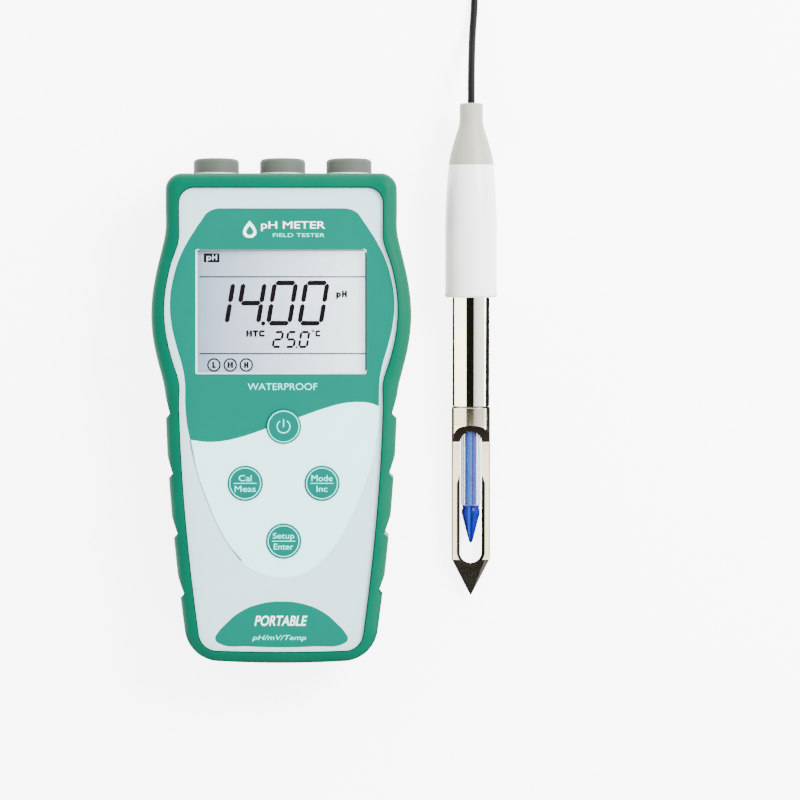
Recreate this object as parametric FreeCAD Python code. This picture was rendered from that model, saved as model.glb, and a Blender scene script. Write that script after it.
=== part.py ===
"""Handheld pH meter in a rubber boot, with a spear electrode on a cable, lying on a table.

Millimetres. +Z out of the meter's face, +Y towards its port caps, +X to its right.
The origin is the centre of the meter's back rest face.
"""

import FreeCAD
import Part
import math
import os

V = FreeCAD.Vector
X_AXIS = V(1, 0, 0)
Y_AXIS = V(0, 1, 0)
Z_AXIS = V(0, 0, 1)
ORIGIN = V(0, 0, 0)

# ---- driving dimensions of the meter ----
THICKNESS = 33.0  # back rest face to the boot's front rim
TAPER_START = 7.0  # below this height the sides draw in
TAPER_GAIN = 0.0046
TAPER_POWER = 1.66
SIDE_STATIONS = 26

# The boot's outside and the opening in its front, as seen from the face.
BOOT = {
    "top": 82.3, "bottom": -82.7, "sag": 1.3, "straight": 39.0,
    "bulge": 4.85, "bulge_y": 34.5, "reach_up": 29.0, "reach_down": 27.0, "power": 1.5,
    "top_radius": 5.5, "bottom_radius": 12.0,
}
FACE = {
    "top": 77.5, "bottom": -79.0, "sag": 0.6, "straight": 34.5,
    "bulge": 5.0, "bulge_y": 36.0, "reach_up": 23.8, "reach_down": 23.8, "power": 1.15,
    "top_radius": 5.4, "bottom_radius": 6.5,
}

SHELL_GROWTH = 1.9  # the shell reaches this far behind the boot's front lip
WALL = 2.2
SHELL_BACK = 2.0
SEAM_LOW = 16.2
SEAM_HIGH = 16.8
SHELL_FRONT = 31.0
OVERLAY_TOP = 31.6

NOTCH_COUNT = 4
NOTCH_FIRST_Y = -0.4  # sharp lower end of the first grip notch
NOTCH_PITCH = 20.15
NOTCH_RAMP = 8.6
NOTCH_DEPTH = 1.6

DISPLAY_Y = 35.6
DISPLAY_WIDTH = 57.5
DISPLAY_HEIGHT = 42.0
BEZEL_SLOPE = 0.6

KEY_RADIUS = 5.8
KEY_TOP = 32.2
KEY_FLANGE_LOW = 27.9
KEY_CENTRE_X = 0.9
KEY_PLACES = {
    "key_power": (KEY_CENTRE_X, -3.0),
    "key_cal_meas": (KEY_CENTRE_X - 12.9, -22.1),
    "key_mode_inc": (KEY_CENTRE_X + 12.9, -22.1),
    "key_setup_enter": (KEY_CENTRE_X, -41.5),
}

BOARD_BOTTOM = 22.6
BOARD_TOP = 24.2
BOARD_END_Y = 65.0

PORT_PITCH = 22.6
PORT_Z = 17.0
PORT_HOLE_RADIUS = 8.3
COLLAR_RADIUS = 8.2
WELL_RADIUS = 7.4
WELL_FLOOR_Y = 71.0
COLLAR_TOP_Y = 82.9
CAP_RADIUS = 7.75
CAP_TOP_Y = 87.9

SCREW_INSET = 3.0
SCREW_YS = (60.0, 0.0, -69.5)

BAY_Y = -36.0
BAY_WIDTH = 46.0
BAY_LENGTH = 50.0
BAY_CEILING = 15.6
DOOR_LEDGE = 2.0
DOOR_GAP = 0.3
CELL_RADIUS = 5.25
CELL_HALF_LENGTH = 21.6
CELL_PITCH = 11.0
CELL_Z = 10.1
DOOR_EAR_X = 26.2

# ---- driving dimensions of the electrode, measured up its axis from the spear point ----
HANDLE_RADIUS = 8.9
HANDLE_NECK_RADIUS = 7.7
SHAFT_RADIUS = 6.35
GUARD_RADIUS = 6.6
BLADE_HALF_THICKNESS = 2.2
FACET_HALF_WIDTH = 4.8  # the middle facet of the point, where the point begins
POINT_SHARE = 0.04  # the blunt end of the point, as a share of its base
SHOULDER_AT = 12.3
SLOT_END_AT = 10.9
SLOT_HALF_WIDTH = 3.75
SLOT_FLARE_HALF_WIDTH = 4.9
FLARE_DEPTH_AT = 0.4  # the bevel starts this far from the blade's middle plane
FLARE_TOP_AT = 38.6
FLARE_NECK_AT = 42.4  # the bevel has run out this far up
SLOT_TOP_AT = 52.8  # middle of the slot's round upper end
BLADE_TOP_AT = 52.3
SCOOP_RADIUS = 7.0
COLLAR_LOW_AT = 59.1
COLLAR_TOP_AT = 64.9
HANDLE_LOW_AT = 102.7
HANDLE_CURVE_AT = 131.9
HANDLE_TOP_AT = 148.0
CONE_FLARE_AT = 163.0
CONE_TOP_AT = 169.0
CONE_RADIUS = 4.0
GLASS_RADIUS = 3.4
GLASS_END_AT = 30.9
SPEAR_WIDE_AT = 28.2
SPEAR_TIP_AT = 17.9
EDGE = 0.5  # small chamfer on turned edges

ELECTRODE_X = 64.4
ELECTRODE_TIP_Y = -61.3
# It rests on the handle's lower rim and on the guard's collar, so it leans nose down.
HANDLE_REST_AT = HANDLE_LOW_AT + EDGE
GUARD_REST_AT = COLLAR_LOW_AT + 0.3
LEAN = math.atan((HANDLE_RADIUS - GUARD_RADIUS) / (HANDLE_REST_AT - GUARD_REST_AT))
TIP_Z = HANDLE_RADIUS * math.cos(LEAN) - HANDLE_REST_AT * math.sin(LEAN)

# ---- cable, coil and plug ----
CABLE_DIAMETER = 2.5
COIL_CENTRE = (47.0, 169.0)
COIL_INNER_RADIUS = 9.6
COIL_OUTER_RADIUS = 18.8
COIL_HEIGHT = 10.4
PLUG_Z = 7.15
PLUG_Y = 186.2
PLUG_REAR_X = 24.0

# Centreline of the cable from the strain relief to the coil: it drops to the table,
# wanders a little and meets the coil on its right-hand side.
CABLE_ROUTE = [
    (64.4, 107.2, 12.48),
    (64.4, 113.6, 12.75),
    (64.5, 120.4, 10.9),
    (64.75, 127.2, 6.6),
    (65.1, 133.8, 3.0),
    (65.7, 141.2, 1.3),
    (65.9, 149.6, 1.25),
    (65.1, 157.8, 1.3),
    (64.4, 164.6, 1.25),
]
# Centreline of the cable from the top of the coil to the plug's boot.
TAIL_ROUTE = [
    (44.8, 186.5, 8.95),
    (39.8, 187.0, 8.3),
    (34.6, 186.7, 7.3),
    (29.2, 186.25, 6.95),
    (24.2, 186.2, 7.15),
]


# ---------------------------------------------------------------- small helpers
def cylinder(radius, start, end):
    """A solid cylinder between two points."""
    along = end - start
    return Part.makeCylinder(radius, along.Length, start, along)


def tube(outer, inner, start, end):
    """A hollow cylinder between two points."""
    along = end - start
    return cylinder(outer, start, end).cut(
        cylinder(inner, start - along * 0.2, end + along * 0.2)
    )


def box_between(low, high):
    """A box from its lowest to its highest corner."""
    size = V(*high) - V(*low)
    return Part.makeBox(size.x, size.y, size.z, V(*low))


def rounded_plate(width, height, radius, x, y, low, high):
    """A plate with rounded corners, centred at x, y, from one Z to another."""
    plate = box_between(
        (x - width / 2, y - height / 2, low), (x + width / 2, y + height / 2, high)
    )
    corners = [e for e in plate.Edges if abs(e.tangentAt(e.FirstParameter).z) > 0.99]
    return plate.makeFillet(radius, corners)


def turned(profile):
    """A solid turned about the Y axis from (radius, along) points."""
    points = [V(radius, along, 0) for radius, along in profile]
    points.append(points[0])
    return Part.Face(Part.makePolygon(points)).revolve(ORIGIN, Y_AXIS, 360)


def fused(solids):
    """One solid from pieces that overlap."""
    whole = solids[0]
    for piece in solids[1:]:
        whole = whole.fuse(piece)
    return whole.removeSplitter()


def edges_at(shape, height):
    """The edges that lie in the plane Z = height."""
    found = []
    for edge in shape.Edges:
        box = edge.BoundBox
        if abs(box.ZMin - height) < 0.01 and abs(box.ZMax - height) < 0.01:
            found.append(edge)
    return found


# ---------------------------------------------------------------- the meter's outline
def half_width(y, profile):
    """Half the outline's width at a height: straight, drawn in below, swollen by the display."""
    half = profile["straight"]
    if y < TAPER_START:
        half -= TAPER_GAIN * (TAPER_START - y) ** TAPER_POWER
    away = y - profile["bulge_y"]
    reach = profile["reach_up"] if away > 0 else profile["reach_down"]
    if abs(away) < reach:
        half += profile["bulge"] * (1 - (away / reach) ** 2) ** profile["power"]
    return half


def outline_plate(profile, inset, low, high):
    """The outline, drawn in by inset, as a plate from one Z to another."""
    top = profile["top"] - inset
    bottom = profile["bottom"] + inset
    side_end = bottom + profile["sag"]
    right = []
    for i in range(SIDE_STATIONS + 1):
        y = top + (side_end - top) * i / SIDE_STATIONS
        right.append(V(half_width(y, profile) - inset, y, low))
    left = [V(-p.x, p.y, p.z) for p in reversed(right)]
    right_curve = Part.BSplineCurve()
    right_curve.interpolate(right)
    left_curve = Part.BSplineCurve()
    left_curve.interpolate(left)
    wire = Part.Wire([
        right_curve.toShape(),
        Part.Arc(right[-1], V(0, bottom, low), left[0]).toShape(),
        left_curve.toShape(),
        Part.LineSegment(left[-1], right[0]).toShape(),
    ])
    plate = Part.Face(wire).extrude(V(0, 0, high - low))
    for key, upper in (("top_radius", True), ("bottom_radius", False)):
        radius = max(profile[key] - inset, 1.5)
        corners = []
        for edge in plate.Edges:
            box = edge.BoundBox
            upright = box.XLength < 0.01 and box.YLength < 0.01
            if upright and (box.YMin > 0) == upper:
                corners.append(edge)
        plate = plate.makeFillet(radius, corners)
    return plate


def port_x(index):
    """Where the ports stand: left, centre, right."""
    return PORT_PITCH * (index - 1)


def port_bores(radius, low, high):
    """Three cylinders along the ports' axes."""
    return [
        cylinder(radius, V(port_x(i), low, PORT_Z), V(port_x(i), high, PORT_Z)) for i in range(3)
    ]


def screw_places():
    """The six case screws, a fixed distance inside the face's outline."""
    places = []
    for y in SCREW_YS:
        x = half_width(y, FACE) - SCREW_INSET
        places += [(x, y), (-x, y)]
    return places


# ---------------------------------------------------------------- boot
def notch_cutter(side, lower_y):
    """A long ramp into the side that ends in a short step."""
    reach = 4.0
    start_y = lower_y + NOTCH_RAMP
    deep_y = lower_y + 1.7
    mid_y = (start_y + deep_y) / 2
    start = V(half_width(start_y, BOOT) + 0.15, start_y, -1)
    middle = V(half_width(mid_y, BOOT) - NOTCH_DEPTH * 0.42, mid_y, -1)
    deep = V(half_width(deep_y, BOOT) - NOTCH_DEPTH, deep_y, -1)
    step = V(half_width(lower_y, BOOT) + 0.15, lower_y, -1)
    outer_low = V(step.x + reach, lower_y, -1)
    outer_high = V(start.x + reach, start_y, -1)
    wire = Part.Wire([
        Part.Arc(start, middle, deep).toShape(),
        Part.LineSegment(deep, step).toShape(),
        Part.LineSegment(step, outer_low).toShape(),
        Part.LineSegment(outer_low, outer_high).toShape(),
        Part.LineSegment(outer_high, start).toShape(),
    ])
    cutter = Part.Face(wire).extrude(V(0, 0, THICKNESS + 2))
    if side < 0:
        cutter = cutter.mirror(ORIGIN, X_AXIS)
    return cutter


def boot():
    """Soft sleeve round the case: open at the back and the face, with grip notches."""
    body = outline_plate(BOOT, 0, 0, THICKNESS)
    body = body.makeFillet(4.2, edges_at(body, THICKNESS))
    body = body.makeFillet(3.0, edges_at(body, 0))
    for i in range(NOTCH_COUNT):
        lower_y = NOTCH_FIRST_Y - i * NOTCH_PITCH
        for side in (1, -1):
            body = body.cut(notch_cutter(side, lower_y))
    body = body.cut(outline_plate(FACE, -SHELL_GROWTH, SHELL_BACK, SHELL_FRONT))
    body = body.cut(outline_plate(FACE, 0, SHELL_FRONT, THICKNESS + 1))
    body = body.cut(outline_plate(FACE, 3.0, -1, SHELL_BACK))
    for bore in port_bores(PORT_HOLE_RADIUS, 76, 90):
        body = body.cut(bore)
    return body


# ---------------------------------------------------------------- case
def front_shell():
    """Front half of the case, with the display and key holes and the screw bosses."""
    shell = outline_plate(FACE, -SHELL_GROWTH, SEAM_HIGH, SHELL_FRONT)
    hollow = outline_plate(FACE, WALL - SHELL_GROWTH, SEAM_HIGH - 1, SHELL_FRONT - WALL)
    shell = shell.cut(hollow)
    bosses = [cylinder(2.8, V(x, y, SEAM_HIGH), V(x, y, SHELL_FRONT - WALL + 0.2)) for x, y in screw_places()]
    shell = fused([shell] + bosses)
    for x, y in screw_places():
        shell = shell.cut(cylinder(1.55, V(x, y, SEAM_HIGH - 1), V(x, y, 26)))
    shell = shell.cut(rounded_plate(60.0, 44.6, 1.5, 0, DISPLAY_Y, 28, 32))
    for x, y in KEY_PLACES.values():
        shell = shell.cut(cylinder(KEY_RADIUS + 0.2, V(x, y, 28), V(x, y, 32)))
    for bore in port_bores(PORT_HOLE_RADIUS, 70, 90):
        shell = shell.cut(bore)
    return shell


def rear_shell():
    """Rear half of the case: battery bay, its door ledge, screw bosses."""
    shell = outline_plate(FACE, -SHELL_GROWTH, SHELL_BACK, SEAM_LOW)
    hollow = outline_plate(FACE, WALL - SHELL_GROWTH, SHELL_BACK + WALL, SEAM_LOW + 1)
    shell = shell.cut(hollow)
    bay = box_between(
        (-BAY_WIDTH / 2 - 1.6, BAY_Y - BAY_LENGTH / 2 - 1.6, SHELL_BACK + WALL - 0.2),
        (BAY_WIDTH / 2 + 1.6, BAY_Y + BAY_LENGTH / 2 + 1.6, BAY_CEILING + 1.1),
    )
    bosses = [cylinder(3.3, V(x, y, 4), V(x, y, SEAM_LOW)) for x, y in screw_places()]
    ears = [cylinder(2.6, V(s * DOOR_EAR_X, BAY_Y, 4), V(s * DOOR_EAR_X, BAY_Y, 12)) for s in (1, -1)]
    shell = fused([shell, bay] + bosses + ears)
    shell = shell.cut(box_between(
        (-BAY_WIDTH / 2, BAY_Y - BAY_LENGTH / 2, SHELL_BACK - 1),
        (BAY_WIDTH / 2, BAY_Y + BAY_LENGTH / 2, BAY_CEILING),
    ))
    shell = shell.cut(rounded_plate(
        BAY_WIDTH + 2 * DOOR_LEDGE, BAY_LENGTH + 2 * DOOR_LEDGE, 2.5, 0, BAY_Y, 1, SHELL_BACK + 1.4
    ))
    for side in (1, -1):
        x = side * DOOR_EAR_X
        shell = shell.cut(cylinder(2.9, V(x, BAY_Y, 1), V(x, BAY_Y, SHELL_BACK + 1.4)))
        shell = shell.cut(cylinder(1.15, V(x, BAY_Y, 1), V(x, BAY_Y, 11)))
    for x, y in screw_places():
        shell = shell.cut(cylinder(1.55, V(x, y, 1), V(x, y, 20)))
        shell = shell.cut(cylinder(2.7, V(x, y, 1), V(x, y, 4.4)))
    for bore in port_bores(PORT_HOLE_RADIUS, 70, 90):
        shell = shell.cut(bore)
    return shell


def seam_gasket():
    """Flat seal between the two halves of the case."""
    ring = outline_plate(FACE, -1.4, SEAM_LOW, SEAM_HIGH)
    ring = ring.cut(outline_plate(FACE, 0.1, SEAM_LOW - 1, SEAM_HIGH + 1))
    for bore in port_bores(PORT_HOLE_RADIUS, 70, 90):
        ring = ring.cut(bore)
    return ring


def case_screws():
    """Six screws from the back into the front bosses."""
    screws = []
    for x, y in screw_places():
        head = cylinder(2.5, V(x, y, 2.4), V(x, y, 4.4))
        head = head.cut(rounded_plate(3.2, 0.7, 0.2, x, y, 2.0, 3.4))
        head = head.cut(rounded_plate(0.7, 3.2, 0.2, x, y, 2.0, 3.4))
        screws.append(head.fuse(cylinder(1.45, V(x, y, 4.4), V(x, y, 24))))
    return Part.makeCompound(screws)


def face_overlay():
    """Thin printed panel on the face, with the display window and key holes."""
    panel = outline_plate(FACE, 0.3, SHELL_FRONT, OVERLAY_TOP)
    panel = panel.cut(rounded_plate(DISPLAY_WIDTH, DISPLAY_HEIGHT, 1.8, 0, DISPLAY_Y, 30, 33))
    for x, y in KEY_PLACES.values():
        panel = panel.cut(cylinder(KEY_RADIUS + 0.15, V(x, y, 30), V(x, y, 33)))
    return panel


# ---------------------------------------------------------------- display
def display_bezel():
    """Frame inside the window whose walls slope in towards the glass."""
    frame = rounded_plate(59.8, 44.4, 1.4, 0, DISPLAY_Y, 29.8, SHELL_FRONT)
    wires = []
    for z, shrink in ((29.7, BEZEL_SLOPE * 2), (SHELL_FRONT + 0.1, 0.0)):
        w = (DISPLAY_WIDTH - shrink) / 2
        h = (DISPLAY_HEIGHT - shrink) / 2
        corners = [(-w, -h), (w, -h), (w, h), (-w, h), (-w, -h)]
        wires.append(Part.makePolygon([V(x, DISPLAY_Y + y, z) for x, y in corners]))
    return frame.cut(Part.makeLoft(wires, True, True))


def display_lens():
    """Clear window plate under the bezel."""
    return rounded_plate(59.8, 44.4, 1.4, 0, DISPLAY_Y, 28.8, 29.8)


def lcd_glass():
    """The liquid crystal cell: two sheets, the lower one longer at its contact edges."""
    upper = box_between((-28.6, DISPLAY_Y - 20.3, 28.0), (28.6, DISPLAY_Y + 20.3, 28.8))
    lower = box_between((-28.6, DISPLAY_Y - 22.6, 27.1), (28.6, DISPLAY_Y + 22.6, 28.0))
    return upper.fuse(lower).removeSplitter()


def lcd_backlight():
    """Diffuser plate behind the cell, on two feet."""
    plate = rounded_plate(56, 40, 1.0, 0, DISPLAY_Y, 25.4, 27.1)
    feet = []
    for x in (24, -24):
        feet.append(box_between((x - 2, DISPLAY_Y - 18, BOARD_TOP), (x + 2, DISPLAY_Y + 18, 25.6)))
    return fused([plate] + feet)


def zebra_strips():
    """Rubber contact strips between the board and the cell."""
    strips = []
    for side in (1, -1):
        y = DISPLAY_Y + side * 21.5
        strips.append(rounded_plate(52, 2.0, 0.4, 0, y, BOARD_TOP, 27.1))
    return Part.makeCompound(strips)


# ---------------------------------------------------------------- electronics
def main_board():
    """Printed circuit board, with notches round the battery bay's leads."""
    board = outline_plate(FACE, 6.4, BOARD_BOTTOM, BOARD_TOP)
    board = board.cut(box_between((-60, BOARD_END_Y, 20), (60, 90, 26)))
    for x, y in screw_places():
        board = board.cut(cylinder(3.3, V(x, y, 20), V(x, y, 26)))
    for x in (-18.0, 18.0):
        board = board.cut(cylinder(1.1, V(x, -64, 20), V(x, -64, 26)))
        board = board.cut(cylinder(1.1, V(x, 63, 20), V(x, 63, 26)))
    return board


def board_screws():
    """Four screws that hold the board to the front shell."""
    screws = []
    for x in (-18.0, 18.0):
        for y in (-64.0, 63.0):
            head = cylinder(2.0, V(x, y, 21.3), V(x, y, BOARD_BOTTOM))
            screws.append(head.fuse(cylinder(1.0, V(x, y, BOARD_BOTTOM), V(x, y, 27.5))))
    return Part.makeCompound(screws)


def board_posts():
    """Spacers between the board and the front shell, over the board screws."""
    posts = []
    for x in (-18.0, 18.0):
        for y in (-64.0, 63.0):
            posts.append(tube(2.4, 1.05, V(x, y, BOARD_TOP), V(x, y, SHELL_FRONT - WALL)))
    return Part.makeCompound(posts)


def key_switches():
    """Four square tact switches with round plungers."""
    switches = []
    for x, y in KEY_PLACES.values():
        body = rounded_plate(6.0, 6.0, 0.6, x, y, BOARD_TOP, 26.6)
        switches.append(body.fuse(cylinder(1.7, V(x, y, 26.6), V(x, y, 27.3))))
    return Part.makeCompound(switches)


def board_chips():
    """The processor and two amplifiers under the board."""
    chips = []
    for width, length, height, x, y in ((12, 12, 1.6, -10, 6), (8, 5, 1.8, 12, 10), (8, 5, 1.8, 12, 0)):
        low = BOARD_BOTTOM - height
        chips.append(rounded_plate(width, length, 0.4, x, y, low, BOARD_BOTTOM))
    return Part.makeCompound(chips)


def shield_can():
    """Pressed steel lid over the high-impedance input."""
    can = rounded_plate(26, 18, 1.0, -14, 52, 18.6, BOARD_BOTTOM)
    return can.cut(rounded_plate(25.2, 17.2, 0.8, -14, 52, 19.0, BOARD_BOTTOM + 1))


# ---------------------------------------------------------------- keys
def key_cap(place):
    """Rubber key: a low dome on a flange under the case wall."""
    x, y = place
    flange = cylinder(KEY_RADIUS + 1.2, V(x, y, KEY_FLANGE_LOW), V(x, y, KEY_FLANGE_LOW + 0.8))
    stem = cylinder(KEY_RADIUS, V(x, y, KEY_FLANGE_LOW + 0.6), V(x, y, KEY_TOP))
    stem = stem.makeFillet(0.45, edges_at(stem, KEY_TOP))
    return fused([flange, stem])


# ---------------------------------------------------------------- ports
def port_block():
    """Moulded block across the top end with three collared wells for the sockets."""
    block = outline_plate(FACE, 0.5, 8.4, 25.6)
    block = block.common(box_between((-60, 68.0, 0), (60, 90, 40)))
    collars = port_bores(COLLAR_RADIUS, 74, COLLAR_TOP_Y)
    block = fused([block] + collars)
    for bore in port_bores(WELL_RADIUS, WELL_FLOOR_Y, 90):
        block = block.cut(bore)
    for bore in port_bores(4.75, 60, 90):
        block = block.cut(bore)
    return block


def bnc_socket():
    """Bayonet socket for the electrode's plug, in the left-hand well."""
    x = port_x(0)
    barrel = tube(4.8, 4.1, V(x, WELL_FLOOR_Y + 1.2, PORT_Z), V(x, 84.6, PORT_Z))
    flange = tube(6.4, 2.6, V(x, WELL_FLOOR_Y, PORT_Z), V(x, WELL_FLOOR_Y + 1.2, PORT_Z))
    rear = tube(4.6, 2.6, V(x, 62.5, PORT_Z), V(x, WELL_FLOOR_Y, PORT_Z))
    lugs = [cylinder(1.0, V(x, 82.0, PORT_Z + s * 4.5), V(x, 82.0, PORT_Z + s * 5.6)) for s in (1, -1)]
    return fused([barrel, flange, rear] + lugs)


def bnc_contact():
    """Insulator and centre contact of the bayonet socket."""
    x = port_x(0)
    insulator = cylinder(2.55, V(x, 61.5, PORT_Z), V(x, 83.0, PORT_Z))
    return insulator.cut(cylinder(0.7, V(x, 75.0, PORT_Z), V(x, 84.0, PORT_Z)))


def temp_jack():
    """Round phono jack for a temperature probe, in the centre well."""
    x = port_x(1)
    barrel = tube(4.1, 1.7, V(x, WELL_FLOOR_Y + 1.2, PORT_Z), V(x, 81.5, PORT_Z))
    flange = tube(6.4, 1.7, V(x, WELL_FLOOR_Y, PORT_Z), V(x, WELL_FLOOR_Y + 1.2, PORT_Z))
    rear = tube(4.6, 1.7, V(x, 62.5, PORT_Z), V(x, WELL_FLOOR_Y, PORT_Z))
    return fused([barrel, flange, rear])


def power_jack():
    """Barrel jack for a mains adaptor, with its centre pin, in the right-hand well."""
    x = port_x(2)
    barrel = tube(5.2, 2.9, V(x, WELL_FLOOR_Y + 1.2, PORT_Z), V(x, 81.5, PORT_Z))
    flange = tube(6.4, 2.9, V(x, WELL_FLOOR_Y, PORT_Z), V(x, WELL_FLOOR_Y + 1.2, PORT_Z))
    rear = cylinder(4.6, V(x, 62.5, PORT_Z), V(x, WELL_FLOOR_Y + 0.4, PORT_Z))
    pin = cylinder(1.0, V(x, WELL_FLOOR_Y, PORT_Z), V(x, 80.5, PORT_Z))
    return fused([barrel, flange, rear, pin])


def socket_nuts():
    """Hexagonal nuts behind the block, one on each socket."""
    nuts = []
    for i in range(3):
        corners = []
        for k in range(7):
            turn = math.radians(60 * k)
            corners.append(V(port_x(i) + 6.6 * math.sin(turn), 65.6, PORT_Z + 6.6 * math.cos(turn)))
        nut = Part.Face(Part.makePolygon(corners)).extrude(V(0, 2.3, 0))
        nuts.append(nut.cut(cylinder(4.65, V(port_x(i), 60, PORT_Z), V(port_x(i), 90, PORT_Z))))
    return Part.makeCompound(nuts)


def port_cap(index):
    """Rubber cap: a solid head over a hollow skirt that goes into the well."""
    x = port_x(index)
    seat = COLLAR_TOP_Y + 0.05
    head = cylinder(CAP_RADIUS, V(0, 0, 0), V(0, 0, CAP_TOP_Y - seat))
    head = head.makeFillet(1.3, edges_at(head, CAP_TOP_Y - seat))
    head.rotate(ORIGIN, X_AXIS, -90)
    head.translate(V(x, seat, PORT_Z))
    skirt = cylinder(7.25, V(x, 78.0, PORT_Z), V(x, seat + 0.5, PORT_Z))
    cap = fused([head, skirt])
    return cap.cut(cylinder(6.0, V(x, 70, PORT_Z), V(x, 85.6, PORT_Z)))


# ---------------------------------------------------------------- battery
def battery_cells():
    """Four cells side by side, turned alternately."""
    cells = []
    for i in range(4):
        x = CELL_PITCH * (i - 1.5)
        turn = 1 if i % 2 else -1
        low = V(x, BAY_Y - CELL_HALF_LENGTH, CELL_Z)
        high = V(x, BAY_Y + CELL_HALF_LENGTH, CELL_Z)
        nub_start = V(x, BAY_Y + turn * CELL_HALF_LENGTH, CELL_Z)
        nub_end = V(x, BAY_Y + turn * (CELL_HALF_LENGTH + 1.0), CELL_Z)
        can = cylinder(CELL_RADIUS, low, high)
        nub = cylinder(1.8, nub_start, nub_end)
        cells.append(can.fuse(nub).removeSplitter())
    return Part.makeCompound(cells)


def battery_contacts():
    """Plates behind the nubs and conical springs behind the flat ends."""
    contacts = []
    for i in range(4):
        x = CELL_PITCH * (i - 1.5)
        turn = 1 if i % 2 else -1
        for side in (turn, -turn):
            wall_y = BAY_Y + side * (BAY_LENGTH / 2)
            plate = box_between(
                (x - 4, min(wall_y, wall_y - side * 0.4), CELL_Z - 4),
                (x + 4, max(wall_y, wall_y - side * 0.4), CELL_Z + 4),
            )
            start = V(x, wall_y - side * 0.2, CELL_Z)
            if side == turn:
                plate = plate.fuse(cylinder(2.6, start, V(x, BAY_Y + side * 22.6, CELL_Z)))
            else:
                length = BAY_LENGTH / 2 - 0.2 - 21.6
                plate = plate.fuse(Part.makeCone(3.6, 2.0, length, start, V(0, -side, 0)))
            contacts.append(plate.removeSplitter())
    return Part.makeCompound(contacts)


def battery_door():
    """Door plate with two screw ears and a locating plug on its inside."""
    width = BAY_WIDTH + 2 * DOOR_LEDGE - 2 * DOOR_GAP
    length = BAY_LENGTH + 2 * DOOR_LEDGE - 2 * DOOR_GAP
    plate = rounded_plate(width, length, 2.2, 0, BAY_Y, SHELL_BACK, SHELL_BACK + 1.0)
    plug = rounded_plate(BAY_WIDTH - 0.6, BAY_LENGTH - 0.6, 1.0, 0, BAY_Y, SHELL_BACK + 0.6, 4.0)
    ears = [
        cylinder(2.6, V(s * DOOR_EAR_X, BAY_Y, SHELL_BACK), V(s * DOOR_EAR_X, BAY_Y, SHELL_BACK + 1.0))
        for s in (1, -1)
    ]
    door = fused([plate, plug] + ears)
    for side in (1, -1):
        x = side * DOOR_EAR_X
        door = door.cut(cylinder(1.1, V(x, BAY_Y, 1), V(x, BAY_Y, 5)))
    for i in range(5):
        y = BAY_Y - BAY_LENGTH / 2 + 3 + 1.8 * i
        door = door.cut(rounded_plate(18, 0.8, 0.3, 0, y, 1.5, SHELL_BACK + 0.35))
    return door


def door_gasket():
    """Flat seal between the door and its ledge."""
    low = SHELL_BACK + 1.0
    outer = rounded_plate(BAY_WIDTH + 3.0, BAY_LENGTH + 3.0, 2.0, 0, BAY_Y, low, low + 0.4)
    return outer.cut(rounded_plate(BAY_WIDTH - 0.2, BAY_LENGTH - 0.2, 1.2, 0, BAY_Y, 2, 5))


def door_screws():
    """Two captive screws through the door's ears."""
    screws = []
    for side in (1, -1):
        x = side * DOOR_EAR_X
        head = cylinder(2.1, V(x, BAY_Y, 1.0), V(x, BAY_Y, SHELL_BACK))
        head = head.cut(rounded_plate(3.0, 0.6, 0.2, x, BAY_Y, 0.5, 1.5))
        screws.append(head.fuse(cylinder(1.05, V(x, BAY_Y, SHELL_BACK), V(x, BAY_Y, 8.5))))
    return Part.makeCompound(screws)


def rear_label():
    """Blank rating plate on the back."""
    return rounded_plate(42, 30, 2.0, 0, 26, SHELL_BACK - 0.2, SHELL_BACK)


# ---------------------------------------------------------------- electrode
def place_electrode(shape):
    """Carries a piece from its own axis, +Y from the point, to where the electrode lies."""
    placed = shape.copy()
    placed.rotate(ORIGIN, X_AXIS, math.degrees(LEAN))
    placed.translate(V(ELECTRODE_X, ELECTRODE_TIP_Y, TIP_Z))
    return placed


def strain_relief():
    """Soft sleeve that flares into the handle."""
    narrow = V(CONE_RADIUS, CONE_FLARE_AT, 0)
    waist = V(5.4, 157.6, 0)
    swell = V(6.9, 152.4, 0)
    wide = V(HANDLE_NECK_RADIUS, HANDLE_TOP_AT + 0.4, 0)
    flare = Part.BSplineCurve()
    flare.interpolate([narrow, V(4.25, 161.4, 0), waist, swell, wide])
    top = V(CONE_RADIUS, CONE_TOP_AT - 0.5, 0)
    lip = V(CONE_RADIUS - 0.5, CONE_TOP_AT, 0)
    mouth = V(CABLE_DIAMETER / 2, CONE_TOP_AT, 0)
    foot = V(CABLE_DIAMETER / 2, HANDLE_TOP_AT + 0.05, 0)
    skirt = V(HANDLE_NECK_RADIUS, HANDLE_TOP_AT + 0.05, 0)
    wire = Part.Wire([
        flare.toShape(),
        Part.LineSegment(wide, skirt).toShape(),
        Part.LineSegment(skirt, foot).toShape(),
        Part.LineSegment(foot, mouth).toShape(),
        Part.LineSegment(mouth, lip).toShape(),
        Part.LineSegment(lip, top).toShape(),
        Part.LineSegment(top, narrow).toShape(),
    ])
    return Part.Face(wire).revolve(ORIGIN, Y_AXIS, 360)


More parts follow.
